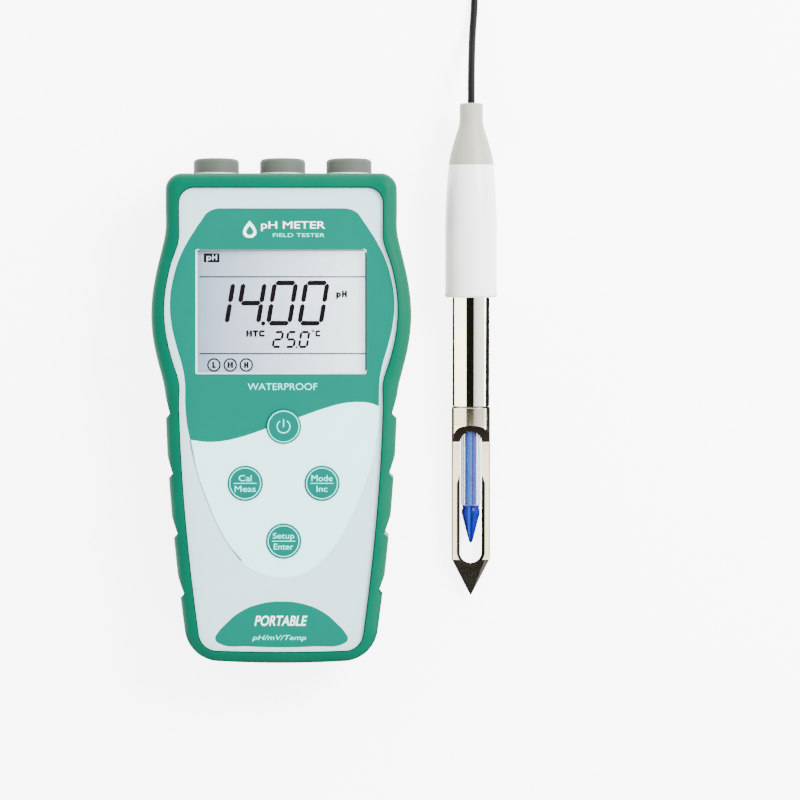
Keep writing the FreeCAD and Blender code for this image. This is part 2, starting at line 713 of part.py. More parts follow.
def handle():
    """Moulded grip, slightly narrower at its upper end, bored for the shaft."""
    low = V(HANDLE_RADIUS, HANDLE_LOW_AT + EDGE, 0)
    bend = V(HANDLE_RADIUS, HANDLE_CURVE_AT - 6, 0)
    top = V(HANDLE_NECK_RADIUS, HANDLE_TOP_AT, 0)
    curve = Part.BSplineCurve()
    curve.interpolate([bend, V(HANDLE_RADIUS - 0.12, HANDLE_CURVE_AT, 0), V(8.35, 140.4, 0), top])
    chamfer = V(HANDLE_RADIUS - EDGE, HANDLE_LOW_AT, 0)
    bore_low = V(SHAFT_RADIUS + 0.03, HANDLE_LOW_AT, 0)
    bore_high = V(SHAFT_RADIUS + 0.03, HANDLE_LOW_AT + 22, 0)
    core_low = V(4.0, HANDLE_LOW_AT + 22, 0)
    core_high = V(4.0, HANDLE_TOP_AT, 0)
    wire = Part.Wire([
        Part.LineSegment(low, bend).toShape(),
        curve.toShape(),
        Part.LineSegment(top, core_high).toShape(),
        Part.LineSegment(core_high, core_low).toShape(),
        Part.LineSegment(core_low, bore_high).toShape(),
        Part.LineSegment(bore_high, bore_low).toShape(),
        Part.LineSegment(bore_low, chamfer).toShape(),
        Part.LineSegment(chamfer, low).toShape(),
    ])
    return Part.Face(wire).revolve(ORIGIN, Y_AXIS, 360)


def handle_potting():
    """Resin plug in the handle's core, where the cable is joined on."""
    return turned([
        (0, 112), (3.2, 112), (3.2, 124), (3.9, 125.5), (3.9, HANDLE_TOP_AT - 0.1), (0, HANDLE_TOP_AT - 0.1),
    ])


def shaft():
    """Steel tube between the handle and the blade guard."""
    return turned([
        (5.45, COLLAR_TOP_AT + 0.35), (SHAFT_RADIUS - 0.15, COLLAR_TOP_AT + 0.35),
        (SHAFT_RADIUS, COLLAR_TOP_AT + 0.5), (SHAFT_RADIUS, HANDLE_LOW_AT + 21.5),
        (5.45, HANDLE_LOW_AT + 21.5),
    ])


def shaft_seal():
    """Ring of dark rubber in the seam between shaft and guard."""
    return turned([
        (4.75, COLLAR_TOP_AT + 0.05), (5.9, COLLAR_TOP_AT + 0.05),
        (5.9, COLLAR_TOP_AT + 0.3), (4.75, COLLAR_TOP_AT + 0.3),
    ])


def stem_bush():
    """Plastic bush in the shaft's end that holds the glass and carries the guard."""
    return turned([
        (GLASS_RADIUS + 0.05, 60.6), (4.7, 60.6), (4.7, COLLAR_TOP_AT + 0.35),
        (5.4, COLLAR_TOP_AT + 0.4), (5.4, 76), (GLASS_RADIUS + 0.05, 76),
    ])


def blade_guard():
    """Turned collar whose lower part is milled into a slotted, pointed blade."""
    body = turned([
        (0, SHOULDER_AT), (GUARD_RADIUS, SHOULDER_AT), (GUARD_RADIUS, COLLAR_TOP_AT - 0.2),
        (GUARD_RADIUS - 0.2, COLLAR_TOP_AT), (0, COLLAR_TOP_AT),
    ])
    for side in (1, -1):
        flat_z = side * BLADE_HALF_THICKNESS
        far_z = side * 20
        body = body.cut(box_between(
            (-20, 0, min(flat_z, far_z)), (20, BLADE_TOP_AT, max(flat_z, far_z))
        ))
        scoop_z = side * (BLADE_HALF_THICKNESS + SCOOP_RADIUS)
        body = body.cut(cylinder(SCOOP_RADIUS, V(-20, BLADE_TOP_AT, scoop_z), V(20, BLADE_TOP_AT, scoop_z)))
    body = body.fuse(pyramid_point()).removeSplitter()
    slot_low = SLOT_END_AT + SLOT_HALF_WIDTH
    body = body.cut(box_between((-SLOT_HALF_WIDTH, slot_low, -20), (SLOT_HALF_WIDTH, SLOT_TOP_AT, 20)))
    for at in (slot_low, SLOT_TOP_AT):
        body = body.cut(cylinder(SLOT_HALF_WIDTH, V(0, at, -20), V(0, at, 20)))
    body = body.cut(cylinder(SLOT_HALF_WIDTH, V(0, 50, 0), V(0, 70, 0)))
    body = body.cut(cylinder(4.8, V(0, 60.4, 0), V(0, 70, 0)))
    for side in (1, -1):
        body = body.cut(slot_flare(side))
    return body


def pyramid_point():
    """Ground point of the blade: a middle facet and two side facets on each face."""
    edge = GUARD_RADIUS - 0.05
    half = BLADE_HALF_THICKNESS
    base = [
        (-edge, 0), (-FACET_HALF_WIDTH, -half), (FACET_HALF_WIDTH, -half),
        (edge, 0), (FACET_HALF_WIDTH, half), (-FACET_HALF_WIDTH, half),
    ]
    wires = []
    for at, share in ((SHOULDER_AT, 1.0), (0.0, POINT_SHARE)):
        corners = [V(x * share, at, z * share) for x, z in base]
        corners.append(corners[0])
        wires.append(Part.makePolygon(corners))
    return Part.makeLoft(wires, True, True)


def slot_flare(side):
    """Bevel along the slot's edges on one face of the blade."""
    low = SLOT_END_AT + SLOT_HALF_WIDTH
    wires = []
    levels = (
        (FLARE_DEPTH_AT, SLOT_HALF_WIDTH - 0.02, FLARE_TOP_AT + 1.0),
        (BLADE_HALF_THICKNESS + 0.1, SLOT_FLARE_HALF_WIDTH, FLARE_TOP_AT),
    )
    for z, half, top in levels:
        left = V(-half, low, side * z)
        right = V(half, low, side * z)
        nose = V(0, low - half * 0.9, side * z)
        upper_right = V(half, top, side * z)
        upper_left = V(-half, top, side * z)
        neck_right = V(SLOT_HALF_WIDTH - 0.1, FLARE_NECK_AT, side * z)
        neck_left = V(-SLOT_HALF_WIDTH + 0.1, FLARE_NECK_AT, side * z)
        wires.append(Part.Wire([
            Part.Arc(left, nose, right).toShape(),
            Part.LineSegment(right, upper_right).toShape(),
            Part.LineSegment(upper_right, neck_right).toShape(),
            Part.LineSegment(neck_right, neck_left).toShape(),
            Part.LineSegment(neck_left, upper_left).toShape(),
            Part.LineSegment(upper_left, left).toShape(),
        ]))
    return Part.makeLoft(wires, True, True)


def glass_stem():
    """Hollow glass stem round the inner electrode."""
    return turned([
        (2.75, GLASS_END_AT + 0.1), (GLASS_RADIUS - 0.35, GLASS_END_AT + 0.1),
        (GLASS_RADIUS, GLASS_END_AT + 0.6),
        (GLASS_RADIUS, 100), (2.75, 100),
    ])


def inner_electrode():
    """Coloured inner stem of the glass electrode."""
    return turned([(0.55, GLASS_END_AT + 0.2), (2.05, GLASS_END_AT + 0.2), (2.05, 96), (0.55, 96)])


def reference_wire():
    """Silver wire down the middle of the inner stem into the bulb."""
    return turned([(0, GLASS_END_AT - 5), (0.5, GLASS_END_AT - 5), (0.5, 104), (0, 104)])


def sensor_spear():
    """Conical pH-sensitive glass tip."""
    return turned([
        (0.52, 25.2), (0.52, GLASS_END_AT), (3.0, GLASS_END_AT), (2.8, 30.2), (3.15, SPEAR_WIDE_AT + 1.0),
        (3.15, SPEAR_WIDE_AT), (0.75, SPEAR_TIP_AT + 0.9), (0.35, SPEAR_TIP_AT + 0.2), (0, SPEAR_TIP_AT),
        (0, 25.2),
    ])


# ---------------------------------------------------------------- cable, coil and plug
def cable_path(route):
    """Straight runs joined by tangent arcs as large as the runs allow; also the radii."""
    points = [V(*p) for p in route]
    edges = []
    radii = []
    here = points[0]
    for before, corner, after in zip(points, points[1:], points[2:]):
        into = corner - before
        out = after - corner
        turn = into.getAngle(out)
        reach = 0.45 * min(into.Length, out.Length)
        radii.append(reach / math.tan(turn / 2))
        start = corner - V(into).normalize() * reach
        end = corner + V(out).normalize() * reach
        bisector = (V(out).normalize() - V(into).normalize()).normalize()
        centre = corner + bisector * (radii[-1] / math.cos(turn / 2))
        middle = centre - bisector * radii[-1]
        edges.append(Part.LineSegment(here, start).toShape())
        edges.append(Part.Arc(start, middle, end).toShape())
        here = end
    edges.append(Part.LineSegment(here, points[-1]).toShape())
    return Part.Wire(edges), radii


def cable_run(route, name):
    """A round cable along a route, with its radii and volume checked."""
    path, radii = cable_path(route)
    start = V(*route[0])
    along = V(*route[1]) - start
    section = Part.Wire([Part.Circle(start, along, CABLE_DIAMETER / 2).toShape()])
    solid = path.makePipeShell([section], True, False)
    area = math.pi * CABLE_DIAMETER ** 2 / 4
    print(name, "length", round(path.Length, 1), "radii", [round(r, 1) for r in radii])
    print(name, "volume over section x length", round(solid.Volume / (area * path.Length), 4))
    return solid


def cable():
    """Cable from the strain relief down to the table and away to the coil."""
    return cable_run(CABLE_ROUTE, "cable")


def cable_tail():
    """Cable from the coil to the plug."""
    return cable_run(TAIL_ROUTE, "cable_tail")


def cable_coil():
    """Outer shape of the neatly wound spare cable."""
    x, y = COIL_CENTRE
    ring = Part.makeCylinder(COIL_OUTER_RADIUS, COIL_HEIGHT, V(x, y, 0))
    ring = ring.cut(Part.makeCylinder(COIL_INNER_RADIUS, COIL_HEIGHT + 2, V(x, y, -1)))
    rims = [e for e in ring.Edges if e.BoundBox.ZLength < 0.01]
    return ring.makeFillet(1.2, rims)


def place_plug(shape):
    """Carries a plug piece from its own axis, +Y towards its nose, to where the plug lies."""
    placed = shape.copy()
    placed.rotate(ORIGIN, Z_AXIS, 90)
    placed.translate(V(PLUG_REAR_X, PLUG_Y, PLUG_Z))
    return placed


def plug_boot():
    """Tapered rubber sleeve on the cable behind the plug."""
    return turned([(0, 0), (1.9, 0), (3.2, 11), (3.2, 13.0), (0, 13.0)])


def plug_body():
    """Plug barrel inside the bayonet collar, with its split nose."""
    return turned([
        (0, 13.0), (4.4, 13.0), (4.4, 15.6), (5.4, 16.0), (5.4, 17.6), (4.0, 17.6), (4.0, 24.5), (3.4, 24.5),
        (3.4, 19.0), (0, 19.0),
    ])


def plug_pin():
    """Centre pin of the plug in its insulator."""
    return turned([(0, 19.0), (2.2, 19.0), (2.2, 20.6), (0.65, 20.6), (0.65, 24.6), (0.3, 25.2), (0, 25.2)])


def plug_collar():
    """Knurled bayonet collar with its locking slots."""
    ring = turned([
        (5.6, 16.2), (7.0, 16.2), (7.0, 24.6), (6.8, 27.4), (5.0, 27.4), (5.0, 18.0), (5.6, 18.0),
    ])
    for i in range(18):
        angle = math.radians(20 * i)
        x = 7.2 * math.cos(angle)
        z = 7.2 * math.sin(angle)
        groove = cylinder(0.45, V(x, 16.8, z), V(x, 23.2, z))
        ring = ring.cut(groove)
    for side in (1, -1):
        ring = ring.cut(box_between((min(0, side * 9) , 25.2, -1.05), (max(0, side * 9), 28.0, 1.05)))
    return ring


PIECES = {
    "boot": boot,
    "front_shell": front_shell,
    "rear_shell": rear_shell,
    "seam_gasket": seam_gasket,
    "case_screws": case_screws,
    "face_overlay": face_overlay,
    "display_bezel": display_bezel,
    "display_lens": display_lens,
    "lcd_glass": lcd_glass,
    "lcd_backlight": lcd_backlight,
    "zebra_strips": zebra_strips,
    "main_board": main_board,
    "board_screws": board_screws,
    "board_posts": board_posts,
    "key_switches": key_switches,
    "board_chips": board_chips,
    "shield_can": shield_can,
    "port_block": port_block,
    "bnc_socket": bnc_socket,
    "bnc_contact": bnc_contact,
    "temp_jack": temp_jack,
    "power_jack": power_jack,
    "socket_nuts": socket_nuts,
    "battery_cells": battery_cells,
    "battery_contacts": battery_contacts,
    "battery_door": battery_door,
    "door_gasket": door_gasket,
    "door_screws": door_screws,
    "rear_label": rear_label,
    "cable": cable,
    "cable_tail": cable_tail,
    "cable_coil": cable_coil,
}
ELECTRODE_PIECES = {
    "strain_relief": strain_relief,
    "handle": handle,
    "handle_potting": handle_potting,
    "shaft": shaft,
    "shaft_seal": shaft_seal,
    "stem_bush": stem_bush,
    "blade_guard": blade_guard,
    "glass_stem": glass_stem,
    "inner_electrode": inner_electrode,
    "reference_wire": reference_wire,
    "sensor_spear": sensor_spear,
}
PLUG_PIECES = {
    "plug_boot": plug_boot,
    "plug_body": plug_body,
    "plug_pin": plug_pin,
    "plug_collar": plug_collar,
}
CAP_NAMES = ("port_cap_left", "port_cap_centre", "port_cap_right")


def build():
    """Every node by name."""
    nodes = {name: make() for name, make in PIECES.items()}
    for name, place in KEY_PLACES.items():
        nodes[name] = key_cap(place)
    for index, name in enumerate(CAP_NAMES):
        nodes[name] = port_cap(index)
    for name, make in ELECTRODE_PIECES.items():
        nodes[name] = place_electrode(make())
    for name, make in PLUG_PIECES.items():
        nodes[name] = place_plug(make())
    return nodes


os.makedirs("parts", exist_ok=True)
print("lean", round(math.degrees(LEAN), 3), "tip z", round(TIP_Z, 3))
for node, shape in build().items():
    if not shape.isValid() or shape.Volume <= 0:
        print("CHECK", node, shape.isValid(), shape.Volume)
    shape.exportStep("parts/" + node + ".step")
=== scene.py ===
"""Looks for the handheld pH meter and its spear electrode, seen from straight above.

Blender works in metres. The printing, the display and the cable's route are written in millimetres.
"""

import math

import bpy
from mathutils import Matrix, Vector


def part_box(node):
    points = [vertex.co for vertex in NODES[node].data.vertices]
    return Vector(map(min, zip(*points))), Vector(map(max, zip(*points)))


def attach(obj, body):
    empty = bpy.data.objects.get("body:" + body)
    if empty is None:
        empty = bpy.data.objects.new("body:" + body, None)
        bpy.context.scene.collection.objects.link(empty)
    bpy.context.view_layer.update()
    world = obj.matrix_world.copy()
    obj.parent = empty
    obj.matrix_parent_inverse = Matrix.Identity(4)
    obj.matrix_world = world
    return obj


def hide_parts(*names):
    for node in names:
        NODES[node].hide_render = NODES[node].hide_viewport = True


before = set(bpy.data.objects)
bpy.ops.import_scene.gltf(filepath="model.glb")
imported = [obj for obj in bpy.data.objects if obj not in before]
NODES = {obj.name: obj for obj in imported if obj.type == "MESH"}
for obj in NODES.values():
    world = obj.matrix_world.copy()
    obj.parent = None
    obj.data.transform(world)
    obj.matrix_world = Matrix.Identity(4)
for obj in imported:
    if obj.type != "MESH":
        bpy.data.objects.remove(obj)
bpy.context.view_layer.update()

MM = 0.001

# ---- the camera: straight down, over the middle of meter and electrode ----
FACE_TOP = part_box("face_overlay")[1][2]
CAMERA_HEIGHT = 1.0  # above the face
VIEW_CENTRE = (0.0400, 0.0059)
VIEW_WIDTH = 0.2688  # across the picture, at the face
SENSOR = 36.0


def add_camera():
    """The camera over the table."""
    data = bpy.data.cameras.new("camera")
    data.sensor_width = SENSOR
    data.lens = SENSOR * CAMERA_HEIGHT / VIEW_WIDTH
    data.clip_end = 20.0
    camera = bpy.data.objects.new("camera", data)
    camera.location = (VIEW_CENTRE[0], VIEW_CENTRE[1], FACE_TOP + CAMERA_HEIGHT)
    bpy.context.scene.collection.objects.link(camera)
    bpy.context.scene.camera = camera


# ---- finishes ----
COAT_ROUGHNESS = 0.15
PATCH_DARK = 0.3  # noise up to here is a darker patch
PATCH_LIGHT = 0.7  # noise from here on is a lighter patch
GLASS_ROUGHNESS = 0.03
GLASS_STREAK = 0.05  # how much rougher a streak is
GLASS_CLEAR = 0.98  # share of the view that passes straight through
GLASS_EDGE = 0.85  # how opaque the glass is at a grazing angle


def linear(red, green, blue):
    """A colour given as 0 to 255 on screen, as scene-linear RGBA."""
    channels = []
    for value in (red, green, blue):
        share = value / 255
        channels.append(share / 12.92 if share <= 0.04045 else ((share + 0.055) / 1.055) ** 2.4)
    return (*channels, 1.0)


def centre_of(node):
    """The middle of a node's box."""
    low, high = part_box(node)
    return Vector([(a + b) / 2 for a, b in zip(low, high)])


def scaled(colour, factor):
    """A colour made lighter or darker."""
    return (colour[0] * factor, colour[1] * factor, colour[2] * factor, 1.0)


def new_material(name):
    """A material with only its Principled shader, and its nodes and links."""
    material = bpy.data.materials.new(name)
    material.use_nodes = True
    return material, material.node_tree.nodes, material.node_tree.links


def surface(name, colour, roughness=0.5, metallic=0.0, mottle=0.06, mottle_scale=120.0,
            grain=0.15, grain_scale=2500.0, stretch=(1, 1, 1), grain_depth=0.00005,
            wear=0.08, coat=0.0, specular=0.5):
    """A moulded, rubbed or turned surface: mottled colour, uneven gloss and fine relief."""
    material, nodes, links = new_material(name)
    shader = nodes["Principled BSDF"]
    shader.inputs["Metallic"].default_value = metallic
    shader.inputs["Coat Weight"].default_value = coat
    shader.inputs["Coat Roughness"].default_value = COAT_ROUGHNESS
    shader.inputs["Specular IOR Level"].default_value = specular
    place = nodes.new("ShaderNodeTexCoord")
    mapping = nodes.new("ShaderNodeMapping")
    mapping.inputs["Scale"].default_value = stretch
    links.new(place.outputs["Object"], mapping.inputs["Vector"])
    clouds = nodes.new("ShaderNodeTexNoise")
    clouds.inputs["Scale"].default_value = mottle_scale
    clouds.inputs["Detail"].default_value = 4
    links.new(place.outputs["Object"], clouds.inputs["Vector"])
    ramp = nodes.new("ShaderNodeValToRGB")
    ramp.color_ramp.elements[0].position = PATCH_DARK
    ramp.color_ramp.elements[0].color = scaled(colour, 1 - mottle)
    ramp.color_ramp.elements[1].position = PATCH_LIGHT
    ramp.color_ramp.elements[1].color = scaled(colour, 1 + mottle)
    links.new(clouds.outputs["Fac"], ramp.inputs["Fac"])
    links.new(ramp.outputs["Color"], shader.inputs["Base Color"])
    gloss = nodes.new("ShaderNodeMapRange")
    gloss.inputs["To Min"].default_value = max(0.02, roughness - wear)
    gloss.inputs["To Max"].default_value = min(1.0, roughness + wear)
    links.new(clouds.outputs["Fac"], gloss.inputs["Value"])
    links.new(gloss.outputs["Result"], shader.inputs["Roughness"])
    fine = nodes.new("ShaderNodeTexNoise")
    fine.inputs["Scale"].default_value = grain_scale
    fine.inputs["Detail"].default_value = 3
    links.new(mapping.outputs["Vector"], fine.inputs["Vector"])
    bump = nodes.new("ShaderNodeBump")
    bump.inputs["Strength"].default_value = grain
    bump.inputs["Distance"].default_value = grain_depth
    links.new(fine.outputs["Fac"], bump.inputs["Height"])
    links.new(bump.outputs["Normal"], shader.inputs["Normal"])
    return material


def add_math(material, operation, *values):
    """A maths node fed by sockets or numbers, and its output."""
    node = material.node_tree.nodes.new("ShaderNodeMath")
    node.operation = operation
    for socket, value in zip(node.inputs, values):
        if isinstance(value, (int, float)):
            socket.default_value = value
        else:
            material.node_tree.links.new(value, socket)
    return node.outputs["Value"]


def split_coordinate(material, kind):
    """The three outputs of one texture coordinate."""
    nodes, links = material.node_tree.nodes, material.node_tree.links
    place = nodes.new("ShaderNodeTexCoord")
    split = nodes.new("ShaderNodeSeparateXYZ")
    links.new(place.outputs[kind], split.inputs["Vector"])
    return split.outputs["X"], split.outputs["Y"], split.outputs["Z"]


def tint_base(material, blend_type, share, colour):
    """Mixes a colour into a finish's base colour; share and colour may be sockets."""
    nodes, links = material.node_tree.nodes, material.node_tree.links
    base = nodes["Principled BSDF"].inputs["Base Color"]
    blend = nodes.new("ShaderNodeMix")
    blend.data_type = "RGBA"
    blend.blend_type = blend_type
    first, second = [socket for socket in blend.inputs if socket.type == "RGBA"]
    links.new(base.links[0].from_socket, first)
    for socket, value in ((blend.inputs["Factor"], share), (second, colour)):
        if isinstance(value, (int, float, tuple)):
            socket.default_value = value
        else:
            links.new(value, socket)
    links.new([socket for socket in blend.outputs if socket.type == "RGBA"][0], base)


def banded(material, axis, stops):
    """Multiplies a finish's colour by bands across its piece.

    A stop is a place from 0 to 1 along the axis, and a colour.
    """
    ramp = material.node_tree.nodes.new("ShaderNodeValToRGB")
    elements = ramp.color_ramp.elements
    while len(elements) < len(stops):
        elements.new(1.0)
    for element, (position, colour) in zip(elements, stops):
        element.position = position
        element.color = colour
    along = split_coordinate(material, "Generated")[axis]
    material.node_tree.links.new(along, ramp.inputs["Fac"])
    tint_base(material, "MULTIPLY", 1.0, ramp.outputs["Color"])


# Where shade and light are painted on the guard. Places are shares of its box: across it, or along
# it from the tip.
SLOT_HALF_WIDTH = 0.376  # with the slot's bevels
SLOT_TOP = 0.86
POINT_CLEAR = 0.155  # the slot's painted shade starts here, above the point
POINT_TOP = 0.25
SCOOP_LOW = 0.5
COLLAR_LOW = 0.895
# Which way its faces look: one part of a normal, from -1 to 1.
FLAT_OUTWARD = 0.95  # a face that looks less straight up or down is the slot's
CUT_DOWNWARD = -0.15  # a face that looks this far towards the tip is the scoop's or the point's
FACET_SIDEWAYS = 0.3  # a face that looks this far sideways is a facet of the point
METAL_SPECULAR = 0.5  # on the shiny metal; the cuts painted as shade have none


def paint_guard_light_and_shade(material):
    """Painted shade in the guard's slot and scoop, dark and without shine; painted shade on its
    point and collar, and painted light and shade on the point's right and left facets.
    """
    def both(first, second):
        return add_math(material, "MULTIPLY", first, second)

    def either(first, second):
        return add_math(material, "MAXIMUM", first, second)

    def under(value, limit):
        return add_math(material, "LESS_THAN", value, limit)

    def over(value, limit):
        return add_math(material, "GREATER_THAN", value, limit)

    across, along, _ = split_coordinate(material, "Generated")
    sideways, toward_top, outward = split_coordinate(material, "Normal")
    off_middle = add_math(material, "ABSOLUTE", add_math(material, "SUBTRACT", across, 0.5))
    tilted = under(add_math(material, "ABSOLUTE", outward), FLAT_OUTWARD)
    downward = under(toward_top, CUT_DOWNWARD)
    slot = both(both(under(off_middle, SLOT_HALF_WIDTH), tilted), under(along, SLOT_TOP))
    scoop = both(downward, over(along, SCOOP_LOW))
    cut = both(either(slot, scoop), over(along, POINT_CLEAR))
    point = both(downward, under(along, POINT_TOP))
    right_facet = both(point, over(sideways, FACET_SIDEWAYS))
    left_facet = both(point, under(sideways, -FACET_SIDEWAYS))
    # painted shade on the collar and point, in the slot and scoop; painted light on the right
    # facet, painted shade on the left
    tint_base(material, "MULTIPLY", over(along, COLLAR_LOW), COLLAR_PAINTED_SHADE)
    tint_base(material, "MULTIPLY", point, POINT_PAINTED_SHADE)
    tint_base(material, "MIX", cut, CUT_PAINTED_SHADE)
    tint_base(material, "MIX", right_facet, FACET_PAINTED_LIGHT)
    tint_base(material, "MIX", left_facet, FACET_PAINTED_SHADE)
    shiny = add_math(material, "SUBTRACT", 1.0, either(cut, either(right_facet, left_facet)))
    shader = material.node_tree.nodes["Principled BSDF"]
    material.node_tree.links.new(shiny, shader.inputs["Metallic"])
    specular = both(shiny, METAL_SPECULAR)
    material.node_tree.links.new(specular, shader.inputs["Specular IOR Level"])


WALL_OUTWARD = 0.7  # a face that looks less straight up or down than this is a wall


def paint_wall_shade(material, colour):
    """Painted shade, in a dark colour, on a panel's cut edges and hole walls."""
    _, _, outward = split_coordinate(material, "Normal")
    upright = add_math(material, "ABSOLUTE", outward)
    wall = add_math(material, "LESS_THAN", upright, WALL_OUTWARD)
    tint_base(material, "MIX", wall, colour)


def clear_glass(name, tint, edge_span):
    """Glass that lets the view straight through and shines at grazing angles, with faint streaks.

    The edge span is where it starts to cloud and where it is cloudiest: 0 is facing, 1 is edge-on.
    """
    material, nodes, links = new_material(name)
    shader = nodes["Principled BSDF"]
    shader.inputs["Base Color"].default_value = tint
    shader.inputs["Specular IOR Level"].default_value = 0.6
    place = nodes.new("ShaderNodeTexCoord")
    streaks = nodes.new("ShaderNodeTexNoise")
    streaks.inputs["Scale"].default_value = 300.0
    links.new(place.outputs["Object"], streaks.inputs["Vector"])
    gloss = nodes.new("ShaderNodeMapRange")
    gloss.inputs["To Min"].default_value = GLASS_ROUGHNESS
    gloss.inputs["To Max"].default_value = GLASS_ROUGHNESS + GLASS_STREAK
    links.new(streaks.outputs["Fac"], gloss.inputs["Value"])
    links.new(gloss.outputs["Result"], shader.inputs["Roughness"])
    edge = nodes.new("ShaderNodeLayerWeight")
    edge.inputs["Blend"].default_value = 0.35
    alpha = nodes.new("ShaderNodeMapRange")
    alpha.inputs["From Min"].default_value = edge_span[0]
    alpha.inputs["From Max"].default_value = edge_span[1]
    alpha.inputs["To Min"].default_value = 1 - GLASS_CLEAR
    alpha.inputs["To Max"].default_value = GLASS_EDGE
    links.new(edge.outputs["Facing"], alpha.inputs["Value"])
    links.new(alpha.outputs["Result"], shader.inputs["Alpha"])
    return material


# ---- pieces ----
PRINT_THICKNESS = 0.00002


def link_piece(piece, body, material):
    """Puts a finished piece in the scene, riding on a body."""
    piece.data.materials.append(material)
    bpy.context.scene.collection.objects.link(piece)
    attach(piece, body)


def as_mesh(curve_object):
    """A curve or text object turned into a mesh object of the same name."""
    bpy.context.scene.collection.objects.link(curve_object)
    bpy.context.view_layer.update()
    graph = bpy.context.evaluated_depsgraph_get()
    mesh = bpy.data.meshes.new_from_object(curve_object.evaluated_get(graph))
    name = curve_object.name
    bpy.data.objects.remove(curve_object)
    return bpy.data.objects.new(name, mesh)


def printed(name, body, loops, height, material):
    """A thin printed area with its holes, from loops of points in millimetres.

    Each loop comes with whether it is curved. A point with a third value is a corner in a curve.
    """
    curve = bpy.data.curves.new(name, "CURVE")
    curve.dimensions = "2D"
    curve.fill_mode = "BOTH"
    curve.extrude = PRINT_THICKNESS / 2
    curve.resolution_u = 14
    for points, smooth in loops:
        if smooth:
            spline = curve.splines.new("BEZIER")
            spline.bezier_points.add(len(points) - 1)
            for knot, point in zip(spline.bezier_points, points):
                knot.co = (point[0] * MM, point[1] * MM, 0)
                kind = "VECTOR" if len(point) > 2 else "AUTO"
                knot.handle_left_type = kind
                knot.handle_right_type = kind
        else:
            spline = curve.splines.new("POLY")
            spline.points.add(len(points) - 1)
            for knot, point in zip(spline.points, points):
                knot.co = (point[0] * MM, point[1] * MM, 0, 1)
        spline.use_cyclic_u = True
    piece = as_mesh(bpy.data.objects.new(name, curve))
    for vertex in piece.data.vertices:
        vertex.co.z += height + PRINT_THICKNESS / 2
    link_piece(piece, body, material)


def circle(x, y, radius, count=64, start=0.0, sweep=360.0):
    """Points round a circle or along an arc, in millimetres."""
    steps = count if sweep >= 360 else count - 1
    points = []
    for i in range(count):
        angle = math.radians(start + sweep * i / steps)
        points.append((x + radius * math.cos(angle), y + radius * math.sin(angle)))
    return points


def rounded_box(x, y, width, height, radius):
    """Points round a box with rounded corners, in millimetres."""
    points = []
    for turn, (sx, sy) in enumerate(((1, 1), (-1, 1), (-1, -1), (1, -1))):
        corner_x = x + sx * (width / 2 - radius)
        corner_y = y + sy * (height / 2 - radius)
        points += circle(corner_x, corner_y, radius, 8, 90 * turn, 90)
    return points


def lettering(name, body, words, x, y, width, height, z, material, slant=0.0, bold=0.0):
    """A word lying flat, centred on x and y and fitted to a width and height in millimetres."""
    text = bpy.data.curves.new(name, "FONT")
    text.body = words
    text.size = 1.0
    text.shear = slant
    text.bevel_depth = bold
    text.bevel_resolution = 0
    text.extrude = 0.0 if bold else 0.001
    text.resolution_u = 6
    piece = as_mesh(bpy.data.objects.new(name, text))
    xs = [v.co.x for v in piece.data.vertices]
    ys = [v.co.y for v in piece.data.vertices]
    spread_x = (max(xs) - min(xs)) / (width * MM)
    spread_y = (max(ys) - min(ys)) / (height * MM)
    for vertex in piece.data.vertices:
        vertex.co.x = x * MM + (vertex.co.x - (max(xs) + min(xs)) / 2) / spread_x
        vertex.co.y = y * MM + (vertex.co.y - (max(ys) + min(ys)) / 2) / spread_y
        vertex.co.z = z + (PRINT_THICKNESS if vertex.co.z > bold / 2 else 0.0)
    link_piece(piece, body, material)


# ---- the cable: route points as in the CAD model, then the coil's turns ----
CABLE_DIAMETER = 0.0025
CABLE_ROUTE = [
    (64.4, 107.2, 12.48),
    (64.4, 113.6, 12.75),
    (64.5, 120.4, 10.9),
    (64.75, 127.2, 6.6),
    (65.1, 133.8, 3.0),
    (65.7, 141.2, 1.3),
    (65.9, 149.6, 1.25),
    (65.1, 157.8, 1.3),
    (64.4, 164.6, 1.25),
]
TAIL_ROUTE = [
    (44.8, 186.5, 8.95),
    (39.8, 187.0, 8.3),
    (34.6, 186.7, 7.3),
    (29.2, 186.25, 6.95),
    (24.2, 186.2, 7.15),
]
COIL_CENTRE = (47.0, 169.0)
COIL_OUTER = 17.4  # centreline of the outermost turn
COIL_INNER = 11.0
COIL_LAYERS = 4
COIL_LAYER_HEIGHT = 2.55
COIL_TURNS = 9.25
COIL_STEPS = 16  # points on each turn
LAYER_RAMP = 0.1  # share of a layer over which the cable steps up to the next, before and after


def coil_points():
    """Points of the coil's turns, which run in and out layer on layer and leave at the top."""
    points = []
    count = round(COIL_TURNS * COIL_STEPS)
    for i in range(1, count):
        turns = i / COIL_STEPS
        through = turns / COIL_TURNS * COIL_LAYERS
        layer = min(int(through), COIL_LAYERS - 1)
        share = through - layer
        inward = share if layer % 2 == 0 else 1 - share
        radius = COIL_OUTER + (COIL_INNER - COIL_OUTER) * inward
        climb = 0.0  # half the step up to the next layer, near this one's end
        if layer < COIL_LAYERS - 1:
            climb = max(0.0, min(1.0, (share - (1 - LAYER_RAMP)) / (2 * LAYER_RAMP)))
        settle = 0.0  # and what is left of the step up to this layer, near its start
        if layer > 0:
            settle = max(0.0, 0.5 - share / (2 * LAYER_RAMP))
        height = CABLE_DIAMETER / 2 / MM + COIL_LAYER_HEIGHT * (layer + climb - settle)
        angle = 2 * math.pi * turns
        points.append((
            COIL_CENTRE[0] + radius * math.cos(angle),
            COIL_CENTRE[1] + radius * math.sin(angle),
            height,
        ))
    return points


